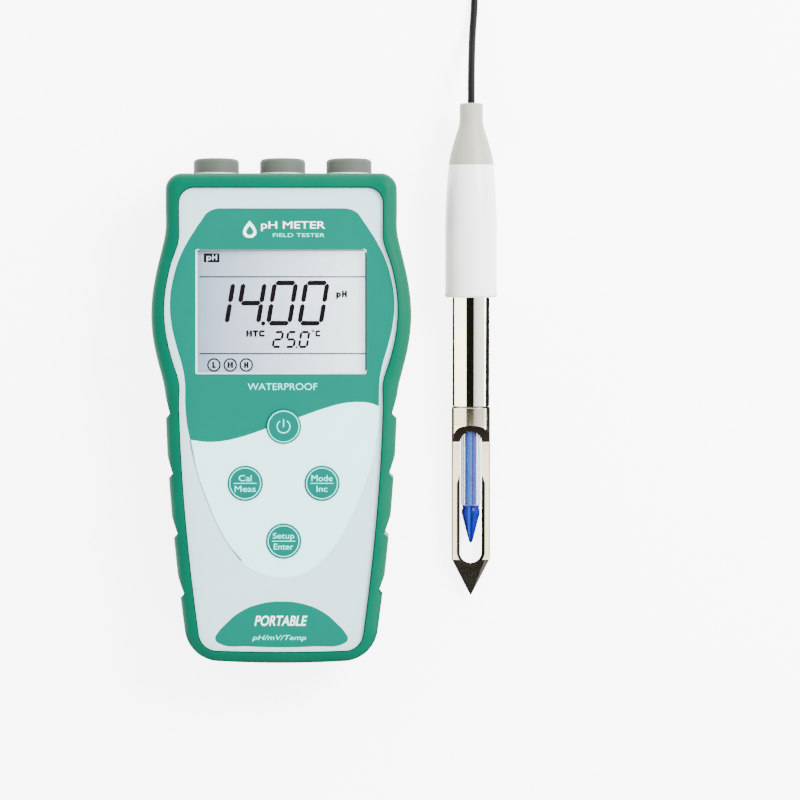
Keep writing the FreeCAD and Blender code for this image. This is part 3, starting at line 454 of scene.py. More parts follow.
def add_cable(material):
    """The whole cable as one smooth line, from the strain relief through the coil to the plug."""
    curve = bpy.data.curves.new("cable_line", "CURVE")
    curve.dimensions = "3D"
    curve.bevel_depth = CABLE_DIAMETER / 2
    curve.bevel_resolution = 4
    curve.resolution_u = 4
    curve.use_fill_caps = True
    route = CABLE_ROUTE + coil_points() + TAIL_ROUTE
    spline = curve.splines.new("NURBS")
    spline.points.add(len(route) - 1)
    for knot, point in zip(spline.points, route):
        knot.co = (point[0] * MM, point[1] * MM, point[2] * MM, 1)
    spline.order_u = 3
    spline.use_endpoint_u = True
    cable = bpy.data.objects.new("cable_line", curve)
    link_piece(cable, "electrode", material)
    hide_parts("cable", "cable_coil", "cable_tail")


TIE_TURN = 235  # degrees round the coil
TIE_HEIGHT = 5.15  # of its middle, in millimetres like the rest
TIE_REACH = 2.5  # along the coil's turns, each way from its middle
TIE_OUTER = (9.9, 10.25, 2.2)  # width, height and corner radius
TIE_INNER = (9.1, 9.45, 1.8)


def add_tie(material):
    """A strap round one side of the coil."""
    angle = math.radians(TIE_TURN)
    outward = Vector((math.cos(angle), math.sin(angle), 0))
    along = Vector((-math.sin(angle), math.cos(angle), 0))
    middle = Vector((*COIL_CENTRE, TIE_HEIGHT)) + outward * (COIL_OUTER + COIL_INNER) / 2
    outer = rounded_box(0, 0, *TIE_OUTER)
    inner = rounded_box(0, 0, *TIE_INNER)
    vertices = []
    ends = ((-TIE_REACH, outer), (TIE_REACH, outer), (TIE_REACH, inner), (-TIE_REACH, inner))
    for reach, ring in ends:
        for aside, up in ring:
            vertices.append((middle + outward * aside + Vector((0, 0, up)) + along * reach) * MM)
    count = len(outer)
    faces = []
    for ring in range(4):
        following = (ring + 1) % 4
        for i in range(count):
            j = (i + 1) % count
            faces.append((ring * count + i, ring * count + j,
                          following * count + j, following * count + i))
    mesh = bpy.data.meshes.new("coil_strap")
    mesh.from_pydata(vertices, [], faces)
    mesh.update()
    link_piece(bpy.data.objects.new("coil_strap", mesh), "electrode", material)


# ---- finishes of the CAD pieces; colours are scene-linear ----
BOOT_GREEN = (0.0, 0.078, 0.044, 1.0)
GREEN_PRINT = (0.0, 0.112, 0.080, 1.0)
KEY_GREEN = (0.0, 0.108, 0.086, 1.0)
SILVER = (0.45, 0.65, 0.68, 1.0)
AQUA = (0.52, 0.93, 0.93, 1.0)
PALE_LEGEND = (0.13, 0.80, 0.73, 1.0)
# painted shade in the guard's cuts and on its point and collar, painted light and shade on the
# point's facets
CUT_PAINTED_SHADE = (0.013, 0.0095, 0.0065, 1.0)
POINT_PAINTED_SHADE = (0.68, 0.68, 0.66, 1.0)
COLLAR_PAINTED_SHADE = (0.68, 0.67, 0.62, 1.0)
FACET_PAINTED_LIGHT = (0.052, 0.049, 0.040, 1.0)
FACET_PAINTED_SHADE = (0.022, 0.021, 0.017, 1.0)
# painted shade for the gaps at the face's edges and round the keys
WALL_PAINTED_SHADE = (0.0, 0.045, 0.034, 1.0)
FULL = (1.0, 1.0, 1.0, 1.0)  # leaves what it multiplies as it is
LCD_INK = (0.004, 0.0015, 0.003, 1.0)
SKY_BLUE = (0.002, 0.088, 0.46, 1.0)
NAVY = (0.0, 0.006, 0.07, 1.0)
VIOLET = (0.020, 0.040, 0.28, 1.0)
SPEAR_BLUE = (0.005, 0.011, 0.20, 1.0)
SPEAR_PAINTED_HIGHLIGHT = (0.02, 0.07, 0.42, 1.0)
LCD_LEFT = (0.48, 0.62, 0.83, 1.0)
LCD_RIGHT_PAINTED_LIGHT = (0.86, 0.97, 1.0, 1.0)
LCD_PAINTED_GLOW = (0.62, 0.74, 0.80, 1.0)
LCD_PAINTED_GLOW_LEFT = 0.02  # share of the painted glow at the left
LCD_PAINTED_GLOW_STRENGTH = 1.6
LCD_SPAN = (-0.03, 0.024)  # x where the painted light on the cell starts and where it is strongest
STEM_ALPHA = 0.97  # the inner stem lets a little through
# painted shade on the display bezel: dark on its right wall, dimmer on its top wall
PAINTED_SHADE_DARK = scaled(FULL, 0.05)
PAINTED_SHADE_DIM = scaled(FULL, 0.35)
RIGHT_WALL_PAINTED_SHADE = ((0.0, FULL), (0.966, FULL), (0.9695, PAINTED_SHADE_DARK), (1.0, PAINTED_SHADE_DARK))
TOP_WALL_PAINTED_SHADE = ((0.0, FULL), (0.955, FULL), (0.960, PAINTED_SHADE_DIM), (1.0, PAINTED_SHADE_DIM))
STEM_STREAKS = ((0.0, SKY_BLUE), (0.57, SKY_BLUE), (0.61, NAVY), (0.71, NAVY),
                (0.75, VIOLET), (1.0, VIOLET))
# the spear's lighter band is a painted highlight
SPEAR_STREAKS = ((0.0, SPEAR_BLUE), (0.30, SPEAR_BLUE), (0.40, SPEAR_PAINTED_HIGHLIGHT), (0.48, SPEAR_BLUE),
                 (0.54, NAVY), (0.62, SPEAR_BLUE), (1.0, SPEAR_BLUE))


def lcd_finish():
    """Silvery grey paper look of the cell, with painted light making it lighter and glowing towards
    the right.
    """
    material = surface("lcd_cell", LCD_LEFT, 0.45, mottle=0.02, mottle_scale=90, grain=0.02,
                       specular=0.1)
    nodes, links = material.node_tree.nodes, material.node_tree.links
    across = nodes.new("ShaderNodeMapRange")
    across.inputs["From Min"].default_value = LCD_SPAN[0]
    across.inputs["From Max"].default_value = LCD_SPAN[1]
    links.new(split_coordinate(material, "Object")[0], across.inputs["Value"])
    # painted light: the cell lighter towards the right
    tint_base(material, "MIX", across.outputs["Result"], LCD_RIGHT_PAINTED_LIGHT)
    # painted glow, though the cell is no lamp
    glow = nodes.new("ShaderNodeValToRGB")
    glow.color_ramp.elements[0].color = scaled(LCD_PAINTED_GLOW, LCD_PAINTED_GLOW_LEFT)
    glow.color_ramp.elements[1].color = LCD_PAINTED_GLOW
    links.new(across.outputs["Result"], glow.inputs["Fac"])
    shader = nodes["Principled BSDF"]
    links.new(glow.outputs["Color"], shader.inputs["Emission Color"])
    shader.inputs["Emission Strength"].default_value = LCD_PAINTED_GLOW_STRENGTH
    return material


def cad_finishes():
    """Gives every node its finish, and returns the cable's for its new line."""
    boot_rubber = surface("boot_rubber", BOOT_GREEN, 0.46, mottle=0.05, mottle_scale=60,
                          grain=0.25, grain_scale=4200, specular=0.04)
    silver = surface("panel_silver", SILVER, 0.36, mottle=0.015, grain=0.1, grain_scale=5200,
                     specular=0.3)
    # painted shade, dark green, in the gaps at the face's edge and round the keys
    paint_wall_shade(silver, WALL_PAINTED_SHADE)
    case = surface("case_plastic", linear(196, 205, 206), 0.5, grain=0.3, grain_scale=3800)
    front_case = surface("front_case", (0.004, 0.022, 0.017, 1.0), 0.6, grain=0.3,
                         grain_scale=3800, specular=0.05)
    bezel = surface("bezel_plastic", (0.60, 0.72, 0.78, 1.0), 0.5, mottle=0.03, grain=0.15,
                    specular=0.2)
    # painted shade on the bezel's right and top walls
    banded(bezel, 0, RIGHT_WALL_PAINTED_SHADE)
    banded(bezel, 1, TOP_WALL_PAINTED_SHADE)
    key = surface("key_rubber", KEY_GREEN, 0.46, mottle=0.03, grain=0.12, grain_scale=5000,
                  specular=0.04)
    cap = surface("cap_rubber", (0.068, 0.079, 0.066, 1.0), 0.6, mottle=0.05, grain=0.35,
                  grain_scale=3200, specular=0.12)
    collar = surface("collar_plastic", linear(222, 228, 222), 0.45, grain=0.15)
    seal = surface("seal_rubber", linear(24, 24, 24), 0.6)
    screw = surface("screw_steel", linear(186, 184, 178), 0.28, metallic=1.0, stretch=(1, 1, 0.1))
    nickel = surface("nickel_plate", linear(206, 202, 192), 0.2, metallic=1.0, mottle=0.04,
                     wear=0.06)
    steel = surface("polished_steel", linear(240, 236, 222), 0.05, metallic=1.0, mottle=0.015,
                    wear=0.02, grain=0.05, grain_scale=600, stretch=(1, 0.05, 1),
                    grain_depth=0.00002)
    milled = surface("milled_steel", linear(214, 211, 196), 0.16, metallic=1.0, mottle=0.06,
                     wear=0.04, grain=0.12, grain_scale=2200, stretch=(1, 0.08, 1),
                     grain_depth=0.00002)
    paint_guard_light_and_shade(milled)
    board = surface("board_mask", linear(20, 92, 52), 0.35, mottle=0.2, mottle_scale=700)
    chip = surface("chip_epoxy", linear(30, 30, 32), 0.55)
    nylon = surface("white_nylon", linear(226, 226, 218), 0.5)
    zebra = surface("zebra_silicone", linear(214, 204, 182), 0.6, mottle=0.3, mottle_scale=1600)
    white = surface("handle_white", (0.9, 0.885, 0.87, 1.0), 0.3, mottle=0.012, mottle_scale=50,
                    grain=0.06, grain_scale=2600)
    relief = surface("relief_grey", (0.32, 0.315, 0.265, 1.0), 0.45, mottle=0.02, grain=0.18,
                     grain_scale=3600, specular=0.3)
    resin = surface("cast_resin", linear(40, 40, 38), 0.3)
    bush = surface("bush_black", linear(30, 30, 31), 0.4)
    blue = surface("blue_inner", (0.9, 0.9, 0.9, 1.0), 0.3, mottle=0.1, mottle_scale=180,
                   stretch=(1, 0.2, 1), specular=0.1)
    banded(blue, 0, STEM_STREAKS)
    blue.node_tree.nodes["Principled BSDF"].inputs["Alpha"].default_value = STEM_ALPHA
    spear = surface("blue_spear", (0.9, 0.9, 0.9, 1.0), 0.2, mottle=0.3, mottle_scale=240,
                    specular=0.05)
    # bands across the spear, with a painted highlight
    banded(spear, 0, SPEAR_STREAKS)
    wire = surface("silver_wire", linear(20, 26, 70), 0.35, metallic=0.3)
    cable = surface("cable_jacket", (0.004, 0.004, 0.004, 1.0), 0.55, grain=0.2,
                    specular=0.08)
    gold = surface("contact_gold", linear(226, 190, 110), 0.25, metallic=1.0)
    sleeve = surface("cell_sleeve", linear(38, 44, 52), 0.3, coat=0.4)
    label = surface("label_blank", linear(206, 210, 210), 0.35, coat=0.3)
    lcd = lcd_finish()
    lens = clear_glass("clear_lens", (0.05, 0.055, 0.06, 1.0), (0.0, 1.0))
    glass = clear_glass("stem_glass", (0.62, 0.66, 0.72, 1.0), (0.14, 0.55))
    shared = {
        boot_rubber: ("boot",),
        silver: ("face_overlay",),
        case: ("rear_shell", "battery_door"),
        front_case: ("front_shell",),
        bezel: ("display_bezel",),
        collar: ("port_block",),
        seal: ("seam_gasket", "door_gasket", "shaft_seal"),
        key: ("key_power", "key_cal_meas", "key_mode_inc", "key_setup_enter"),
        cap: ("port_cap_left", "port_cap_centre", "port_cap_right"),
        screw: ("case_screws", "door_screws", "board_screws", "shield_can", "battery_contacts"),
        nickel: ("bnc_socket", "temp_jack", "socket_nuts", "plug_body", "plug_collar"),
        steel: ("shaft",),
        milled: ("blade_guard",),
        board: ("main_board",),
        chip: ("board_chips", "key_switches", "power_jack"),
        nylon: ("board_posts", "bnc_contact", "lcd_backlight"),
        zebra: ("zebra_strips",),
        white: ("handle",),
        relief: ("strain_relief",),
        resin: ("handle_potting",),
        bush: ("stem_bush",),
        blue: ("inner_electrode",),
        spear: ("sensor_spear",),
        wire: ("reference_wire",),
        cable: ("cable", "cable_tail", "cable_coil", "plug_boot"),
        gold: ("plug_pin",),
        sleeve: ("battery_cells",),
        label: ("rear_label",),
        lcd: ("lcd_glass",),
        lens: ("display_lens",),
        glass: ("glass_stem",),
    }
    for material, names in shared.items():
        for name in names:
            for slot in NODES[name].material_slots:
                slot.material = material
    return cable


# ---- printing on the face ----
WINDOW_Y = centre_of("display_bezel").y / MM
WINDOW_WIDTH = 57.5
WINDOW_HEIGHT = 42.0
PRINT_Z = FACE_TOP + PRINT_THICKNESS / 2
ART_MIDDLE = 0.4  # the printed art is centred this far right of the face's middle
FIELD_SIDE = [  # right-hand edge of the green field, from the top down
    (0.6, 70.3), (10.0, 70.3), (19.0, 70.3), (22.8, 70.1), (25.6, 68.8), (27.5, 66.3),
    (30.0, 62.6), (32.4, 58.7), (34.9, 53.6), (37.0, 46.8), (38.1, 39.0), (37.6, 31.4),
    (35.9, 24.0), (34.0, 17.4), (33.1, 12.0), (32.95, 8.0), (32.9, 3.8, 0),
]
FIELD_LEFT_END = [(-31.6, -2.0), (-32.15, 4.0)]  # from where the wave ends, upwards
WAVE_RIGHT = [(29.8, 4.9), (25.8, 5.2), (21.0, 4.8), (14.0, 2.9)]  # field's lower edge, to the key
WAVE_LEFT = [(-13.0, -6.4), (-19.0, -7.8), (-24.5, -8.2), (-30.5, -7.5, 0)]  # and on beyond it
WAVE_AT_KEY = -1.75  # the wave's height over the power key's middle
POCKET = [  # the key field's U, from its left-hand top round to its right-hand top
    (-30.5, -7.5, 0), (-28.1, -18.6), (-25.4, -26.4), (-21.6, -35.6), (-17.6, -42.7),
    (-13.2, -48.3), (-7.6, -52.0), (0.6, -53.7), (8.8, -51.8), (15.9, -45.8), (20.6, -39.0),
    (24.4, -31.6), (28.2, -22.4), (30.8, -14.0), (32.4, -5.0), (32.9, 3.8, 0),
]
FOOT = [  # the foot panel, from the middle of its top clockwise
    (0.2, -61.8), (8.2, -62.8), (14.4, -65.5), (18.6, -69.0), (21.6, -72.3), (22.5, -74.4),
    (21.2, -75.9), (11.0, -76.9), (0.2, -77.2), (-10.6, -76.9), (-20.8, -75.9), (-22.1, -74.4),
    (-21.2, -72.3), (-18.2, -69.0), (-14.0, -65.5), (-7.8, -62.8),
]
DROP_OUTLINE = [
    (-10.5, 66.2, 0), (-8.3, 62.7), (-8.6, 61.2), (-10.5, 60.4), (-12.4, 61.2), (-12.7, 62.7),
]
DROP_CORE = [
    (-10.5, 64.5, 0), (-9.3, 62.6), (-9.5, 61.8), (-10.5, 61.3), (-11.5, 61.8), (-11.7, 62.6),
]
KEY_HOLE_RADIUS = 5.95  # the printing stops this far from a key's middle
POWER_HOLE_RADIUS = 5.86  # and here at the power key, where two printed areas meet
KEY_NODES = ("key_power", "key_cal_meas", "key_mode_inc", "key_setup_enter")


def key_centres():
    """Each key's middle, in millimetres."""
    return {name: centre_of(name) / MM for name in KEY_NODES}


def meets_circle(inner, outer, middle, radius):
    """The angle, in degrees, at which a line from inside a circle to outside it crosses it."""
    start = Vector((inner[0] - middle.x, inner[1] - middle.y))
    along = (Vector((outer[0] - middle.x, outer[1] - middle.y)) - start).normalized()
    reach = start.dot(along)
    step = -reach + math.sqrt(reach * reach - start.length_squared + radius * radius)
    point = start + along * step
    return math.degrees(math.atan2(point.y, point.x))


def wave_round_key(middle, over):
    """The wave from right to left, led round the power key's hole, over its top or under it."""
    inside = (middle.x, WAVE_AT_KEY)
    right = meets_circle(inside, WAVE_RIGHT[-1], middle, POWER_HOLE_RADIUS)
    left = meets_circle(inside, WAVE_LEFT[0], middle, POWER_HOLE_RADIUS) % 360
    sweep = left - right if over else left - right - 360
    arc = circle(middle.x, middle.y, POWER_HOLE_RADIUS, 24, right, sweep)
    arc = [arc[0] + (0,)] + arc[1:-1] + [arc[-1] + (0,)]
    return WAVE_RIGHT + arc + WAVE_LEFT


def print_face():
    """The green field with its wave, the key field, the foot panel and the words.

    Returns the pale finish of the small words, for the keys' legends.
    """
    green = surface("print_green", GREEN_PRINT, 0.4, mottle=0.02, mottle_scale=80, grain=0.08,
                    grain_scale=5200, specular=0.01)
    aqua = surface("print_aqua", AQUA, 0.4, mottle=0.012, grain=0.08, specular=0.2)
    rule = surface("print_rule", linear(112, 122, 120), 0.4, specular=0.1)
    pale = surface("print_legend", PALE_LEGEND, 0.4, mottle=0.02, specular=0.1)
    white = surface("print_white", (0.78, 0.97, 0.94, 1.0), 0.4, mottle=0.02, specular=0.1)
    mirrored = [(2 * ART_MIDDLE - x, y) for x, y in reversed(FIELD_SIDE[1:-2])]
    left_side = FIELD_LEFT_END + mirrored
    window = rounded_box(0, WINDOW_Y, WINDOW_WIDTH, WINDOW_HEIGHT, 0.7)
    keys = key_centres()
    field = FIELD_SIDE + wave_round_key(keys["key_power"], True) + left_side
    printed("print_field", "meter", [(field, True), (window, False)], PRINT_Z, green)
    pocket = POCKET + wave_round_key(keys["key_power"], False)[:-1]
    holes = [
        (circle(middle.x, middle.y, KEY_HOLE_RADIUS), False)
        for name, middle in keys.items() if name != "key_power"
    ]
    printed("print_key_field", "meter", [(pocket, True)] + holes, PRINT_Z - 0.000005, aqua)
    edge = [point[:2] for point in POCKET[:6]]
    line = [(x - 0.15, y) for x, y in edge] + [(x + 0.13, y + 0.06) for x, y in reversed(edge)]
    printed("print_rule", "meter", [(line, True)], PRINT_Z + PRINT_THICKNESS / 2, rule)
    printed("print_foot", "meter", [(FOOT, True)], PRINT_Z, green)
    up = PRINT_Z + PRINT_THICKNESS
    lettering("word_waterproof", "meter", "WATERPROOF", 0.5, 10.4, 23.4, 2.3, up, pale)
    lettering("word_meter", "meter", "pH METER", 4.1, 64.3, 21.6, 3.3, up, white, bold=0.014)
    lettering("word_tester", "meter", "FIELD TESTER", 6.0, 61.3, 17.4, 1.25, up, pale)
    lettering("word_portable", "meter", "PORTABLE", 0.0, -68.3, 17.8, 3.5, up, white,
              slant=0.25, bold=0.022)
    lettering("word_modes", "meter", "pH/mV/Temp", -0.6, -74.2, 18.2, 2.2, up, pale, slant=0.25)
    printed("drop_mark", "meter", [(DROP_OUTLINE, True), (DROP_CORE, True)], up, white)
    return pale


KEY_WORDS = {  # upper word, its width, height and place above the middle; lower word and its width
    "key_cal_meas": ("Cal", 4.4, 2.1, 1.75, "Meas", 7.1),
    "key_mode_inc": ("Mode", 7.1, 2.1, 1.75, "Inc", 3.7),
    "key_setup_enter": ("Setup", 7.2, 2.6, 1.5, "Enter", 6.6),
}
LEGEND_BOLD = 0.008


def key_legends(pale):
    """Ring, rule and words on each key, moving with it."""
    for name, middle in key_centres().items():
        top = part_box(name)[1][2] + 0.000005
        x, y = middle.x, middle.y

        def outline(piece, *loops):
            printed(piece, name, [(loop, False) for loop in loops], top, pale)

        outline(name + "_ring", circle(x, y, 5.34), circle(x, y, 5.04))
        if name == "key_power":
            inner_edge = list(reversed(circle(x, y, 1.98, 28, 122, 296)))
            outline("power_arc", circle(x, y, 2.32, 28, 122, 296) + inner_edge)
            outline("power_bar", rounded_box(x, y + 1.15, 0.36, 2.75, 0.15))
            continue
        upper, upper_width, upper_height, rise, lower, lower_width = KEY_WORDS[name]
        outline(name + "_rule", rounded_box(x, y, 7.8, 0.26, 0.1))
        lettering(name + "_upper", name, upper, x, y + rise, upper_width, upper_height, top, pale,
                  bold=LEGEND_BOLD)
        lettering(name + "_lower", name, lower, x, y - 1.85, lower_width, 2.05, top, pale,
                  bold=LEGEND_BOLD)


# ---- the display ----
SEGMENTS = {"0": "abcdef", "1": "bc", "2": "abged", "4": "fgbc", "5": "afgcd"}
SLANT = 0.165  # sideways shift for each millimetre of height
BAR_GAP = 0.1  # left free at each end of a bar, as a share of its stroke
BAR_SHOULDER = 0.42  # length of a bar's pointed end, as a share of its stroke


def segment(kind, width, height, stroke):
    """One bar of a seven-bar digit, centred on the digit, in millimetres."""
    w = (width - stroke) / 2
    h = (height - stroke) / 2
    gap = stroke * BAR_GAP
    ends = {
        "a": ((-w, h), (w, h)), "g": ((-w, 0), (w, 0)), "d": ((-w, -h), (w, -h)),
        "f": ((-w, h), (-w, 0)), "b": ((w, h), (w, 0)),
        "e": ((-w, 0), (-w, -h)), "c": ((w, 0), (w, -h)),
    }
    start, end = (Vector(p) for p in ends[kind])
    along = (end - start).normalized()
    across = Vector((-along.y, along.x)) * stroke / 2
    start = start + along * gap
    end = end - along * gap
    shoulder = along * stroke * BAR_SHOULDER
    return [
        start, start + shoulder + across, end - shoulder + across,
        end, end - shoulder - across, start + shoulder - across,
    ]


def digit(name, figure, x, y, width, height, stroke, z, ink):
    """A slanted seven-bar figure."""
    loops = []
    for kind in SEGMENTS[figure]:
        corners = segment(kind, width, height, stroke)
        loops.append(([(x + p.x + SLANT * p.y, y + p.y) for p in corners], False))
    printed(name, "meter", loops, z, ink)


def oval(x, y, across, upright, start=0.0, sweep=360.0):
    """Points round an oval or along part of it, in millimetres."""
    around = circle(0, 0, 1.0, 28, start, sweep)
    return [(x + across * px, y + upright * py) for px, py in around]


def block_letter(letter, w, h, s):
    """Loops of a plain upright letter, w wide and h high with strokes s wide.

    Its lower left corner is at (0, 0). The letters are H, L, T, M and C; any other is a small p.
    """
    if letter == "H":
        return [[(0, 0), (s, 0), (s, (h - s) / 2), (w - s, (h - s) / 2), (w - s, 0), (w, 0), (w, h),
                 (w - s, h), (w - s, (h + s) / 2), (s, (h + s) / 2), (s, h), (0, h)]]
    if letter == "L":
        return [[(0, 0), (w, 0), (w, s), (s, s), (s, h), (0, h)]]
    if letter == "T":
        left, right = (w - s) / 2, (w + s) / 2
        return [[(left, 0), (right, 0), (right, h - s), (w, h - s), (w, h),
                 (0, h), (0, h - s), (left, h - s)]]
    if letter == "M":
        return [[(0, 0), (s, 0), (s, h * 0.58), (w / 2, h * 0.05), (w - s, h * 0.58), (w - s, 0),
                 (w, 0), (w, h), (w - s, h), (w / 2, h * 0.48), (s, h), (0, h)]]
    if letter == "C":
        cut = s * 0.7
        return [[(cut, 0), (w - s * 0.3, 0), (w, s * 0.4), (w, s), (s * 1.15, s), (s, s * 1.15),
                 (s, h - s * 1.15), (s * 1.15, h - s), (w, h - s), (w, h - s * 0.4),
                 (w - s * 0.3, h), (cut, h), (0, h - cut), (0, cut)]]
    body = h * 0.76
    bowl = oval(w / 2, body / 2, w / 2, body / 2, -112, 224)
    outline = [(0, -h * 0.24), (s, -h * 0.24), (s, body * 0.05)] + bowl
    outline += [(s, body * 0.95), (s, body), (0, body)]
    return [outline, oval(w / 2 + s * 0.1, body / 2, w / 2 - s * 1.05, body / 2 - s * 0.85)]


def block_word(name, letters, x, y, height, stroke, z, ink, gap=0.35):
    """Block letters in a row from x, standing on y. Each letter comes with its width."""
    loops = []
    for letter, width in letters:
        for loop in block_letter(letter, width, height, stroke):
            loops.append(([(x + px, y + py) for px, py in loop], False))
        x += width + gap
    printed(name, "meter", loops, z, ink)


def draw_display():
    """What the display shows, on the cell's upper face."""
    ink = surface("lcd_ink", LCD_INK, 0.5, mottle=0.1, mottle_scale=200, specular=0.05)
    paper = surface("lcd_paper", LCD_LEFT, 0.5, specular=0.1)
    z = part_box("lcd_glass")[1][2] + PRINT_THICKNESS / 2

    def outline(name, *loops):
        printed(name, "meter", [(loop, False) for loop in loops], z, ink)

    for i, figure in enumerate("1400"):
        x = -20.85 + 10.57 * i
        digit("big_figure_%d" % i, figure, x, WINDOW_Y + 2.95, 8.75, 15.2, 1.62, z, ink)
    outline("big_point", circle(-6.1, WINDOW_Y - 3.9, 0.75))
    for i, figure in enumerate("250"):
        x = -1.15 + 4.42 * i
        digit("small_figure_%d" % i, figure, x, WINDOW_Y - 9.3, 3.5, 5.85, 0.86, z, ink)
    outline("small_point", circle(5.1, WINDOW_Y - 11.9, 0.36))
    outline("rule_upper", rounded_box(0.3, WINDOW_Y + 11.8, 55.8, 0.42, 0.1))
    outline("rule_lower", rounded_box(0.3, WINDOW_Y - 14.1, 55.8, 0.42, 0.1))
    block_word("unit_ph", (("p", 1.7), ("H", 1.75)), 18.45, WINDOW_Y + 4.9, 2.25, 0.7, z, ink, 0.25)
    block_word("word_mtc", (("M", 2.05), ("T", 1.75), ("C", 2.0)), -11.85, WINDOW_Y - 8.4, 2.2, 0.7,
               z, ink, 0.25)
    block_word("unit_c", (("C", 1.75),), 11.45, WINDOW_Y - 8.4, 2.2, 0.68, z, ink)
    degree_y = WINDOW_Y - 6.4
    outline("unit_degree", circle(10.7, degree_y, 0.5, 24), circle(10.7, degree_y, 0.17, 24))
    outline("mode_box", rounded_box(-23.45, WINDOW_Y + 18.2, 5.3, 3.0, 0.2))
    block_word("mode_ph", (("p", 1.6), ("H", 1.6)), -25.2, WINDOW_Y + 17.4, 1.9, 0.42,
               z + PRINT_THICKNESS, paper)
    level_y = WINDOW_Y - 17.9
    for letter, x, wide in (("L", -22.7, 1.15), ("M", -17.2, 1.85), ("H", -11.8, 1.5)):
        outline("level_ring_" + letter, circle(x, level_y, 2.3), circle(x, level_y, 1.78))
        block_word("level_" + letter, ((letter, wide),), x - wide / 2, level_y - 1.05, 2.1, 0.62,
                   z, ink)


# ---- table and light ----
TABLE_REACH = 3.0  # from the middle to a side
TABLE_DROP = 0.00002  # just under what stands at height 0
TABLE_GLOW = 5.0
FLOOR_CARD = 0.0004  # height of the cards near the table
OVER_CARD = 0.1  # height of the cards above the electrode
KEY_LIGHT = (0.6, 0.4, 0.7)
KEY_LIGHT_TARGET = (0.02, 0.0, 0.0)
KEY_LIGHT_SIZE = 0.4
KEY_LIGHT_ENERGY = 26.0
SKY_LOW = 3.0  # the room's strength at the horizon and below
SKY_HIGH = 1.1  # and straight overhead
SKY_POWER = 4.0  # more makes the dim part of the ceiling smaller


def add_table():
    """A plain pale floor that glows, so that it shows white as a lit sweep does."""
    far = TABLE_REACH
    mesh = bpy.data.meshes.new("table")
    corners = [(-far, -far, 0), (far, -far, 0), (far, far, 0), (-far, far, 0)]
    mesh.from_pydata(corners, [], [(0, 1, 2, 3)])
    table = bpy.data.objects.new("table", mesh)
    white = surface("table_white", linear(250, 250, 250), 0.7, mottle=0.004, grain=0.02)
    shader = white.node_tree.nodes["Principled BSDF"]
    shader.inputs["Emission Color"].default_value = (1.0, 1.0, 1.0, 1.0)
    shader.inputs["Emission Strength"].default_value = TABLE_GLOW
    mesh.materials.append(white)
    table.location.z = -TABLE_DROP
    table.visible_diffuse = False
    bpy.context.scene.collection.objects.link(table)


def add_card(name, corners, colour, glow=0.0):
    """A black or glowing card that only reflections see, for the stripes in polished steel."""
    mesh = bpy.data.meshes.new(name)
    mesh.from_pydata(corners, [], [(0, 1, 2, 3)])
    card = bpy.data.objects.new(name, mesh)
    paint = surface(name + "_paint", colour, 0.9, specular=0.0)
    shader = paint.node_tree.nodes["Principled BSDF"]
    shader.inputs["Emission Color"].default_value = colour
    shader.inputs["Emission Strength"].default_value = glow
    mesh.materials.append(paint)
    card.visible_camera = False
    card.visible_diffuse = False
    card.visible_shadow = False
    card.visible_transmission = False
    card.visible_volume_scatter = False
    bpy.context.scene.collection.objects.link(card)


def level_card(name, x_low, x_high, y_low, y_high, z, colour, glow=0.0):
    """A card lying level."""
    corners = [(x_low, y_low, z), (x_high, y_low, z), (x_high, y_high, z), (x_low, y_high, z)]
    add_card(name, corners, colour, glow)


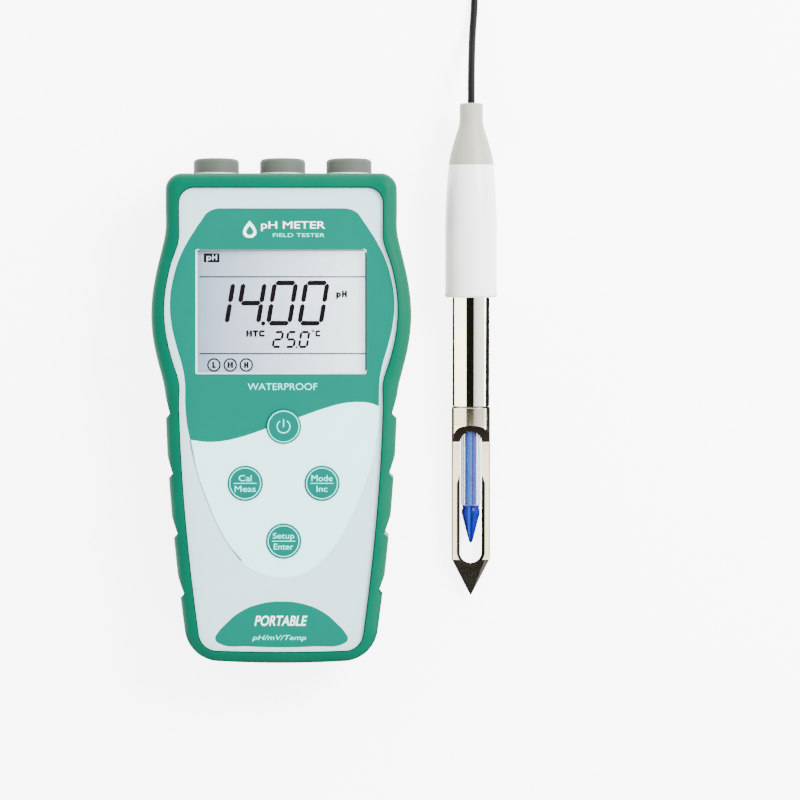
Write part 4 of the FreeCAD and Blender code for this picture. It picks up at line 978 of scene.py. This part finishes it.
def add_cards():
    """Cards round the electrode, placed from its shaft's box and its tip, in metres.

    A dark stripe and a cream patch overhead, a cream side, dark ones near the floor, a dark end.
    """
    black = (0.006, 0.006, 0.005, 1.0)
    cream = (1.0, 0.95, 0.74, 1.0)
    grey = (0.33, 0.31, 0.27, 1.0)
    low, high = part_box("shaft")
    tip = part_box("blade_guard")[0][1]
    x = centre_of("shaft").x
    level_card("card_over", x - 0.052, x + 0.027, low[1] - 0.0205, high[1] - 0.022, OVER_CARD,
               black)
    level_card("card_floor", x - 0.02, x + 0.05, tip + 0.013, high[1] - 0.02, FLOOR_CARD, black)
    level_card("card_floor_tip", x - 0.05, x + 0.007, tip - 0.02, tip + 0.013, FLOOR_CARD, black)
    level_card("card_floor_grey", x + 0.007, x + 0.05, tip - 0.02, tip + 0.013, FLOOR_CARD,
               grey, 1.0)
    level_card("card_floor_low", x - 0.3, x + 0.3, tip - 0.5, tip - 0.02, FLOOR_CARD, black)
    level_card("card_blade", x - 0.02, x + 0.03, tip - 0.012, low[1] - 0.021, OVER_CARD, cream, 2.6)
    side = x - 0.019
    add_card("card_side", [
        (side, tip, 0.0006), (side, high[1], 0.0006), (side, high[1], 0.042), (side, tip, 0.042),
    ], cream, 3.0)
    add_card("card_end", [
        (x - 0.3, tip - 0.15, 0.55), (x + 0.3, tip - 0.15, 0.55),
        (x + 0.3, tip - 0.55, 0.0), (x - 0.3, tip - 0.55, 0.0),
    ], black)


def add_key_light():
    """A square softbox at the upper right, aimed at the object."""
    data = bpy.data.lights.new("key", "AREA")
    data.size = KEY_LIGHT_SIZE
    data.energy = KEY_LIGHT_ENERGY
    lamp = bpy.data.objects.new("key", data)
    lamp.location = KEY_LIGHT
    aim = Vector(KEY_LIGHT_TARGET) - Vector(KEY_LIGHT)
    lamp.rotation_euler = aim.to_track_quat("-Z", "Y").to_euler()
    bpy.context.scene.collection.objects.link(lamp)


def light_scene():
    """A bright room with a dimmer ceiling, and the soft key light."""
    world = bpy.data.worlds.new("room")
    world.use_nodes = True
    nodes, links = world.node_tree.nodes, world.node_tree.links
    background = nodes["Background"]
    background.inputs["Color"].default_value = (1.0, 1.0, 1.0, 1.0)
    place = nodes.new("ShaderNodeTexCoord")
    split = nodes.new("ShaderNodeSeparateXYZ")
    links.new(place.outputs["Generated"], split.inputs["Vector"])
    height = nodes.new("ShaderNodeMath")
    height.operation = "POWER"
    height.use_clamp = True
    height.inputs[1].default_value = SKY_POWER
    links.new(split.outputs["Z"], height.inputs[0])
    strength = nodes.new("ShaderNodeMapRange")
    strength.inputs["To Min"].default_value = SKY_LOW
    strength.inputs["To Max"].default_value = SKY_HIGH
    links.new(height.outputs["Value"], strength.inputs["Value"])
    links.new(strength.outputs["Result"], background.inputs["Strength"])
    bpy.context.scene.world = world
    add_key_light()


add_camera()
jacket = cad_finishes()
add_cable(jacket)
add_tie(surface("strap_cloth", linear(34, 34, 36), 0.8, grain=0.4, grain_scale=1500))
legend_ink = print_face()
key_legends(legend_ink)
draw_display()
add_table()
add_cards()
light_scene()
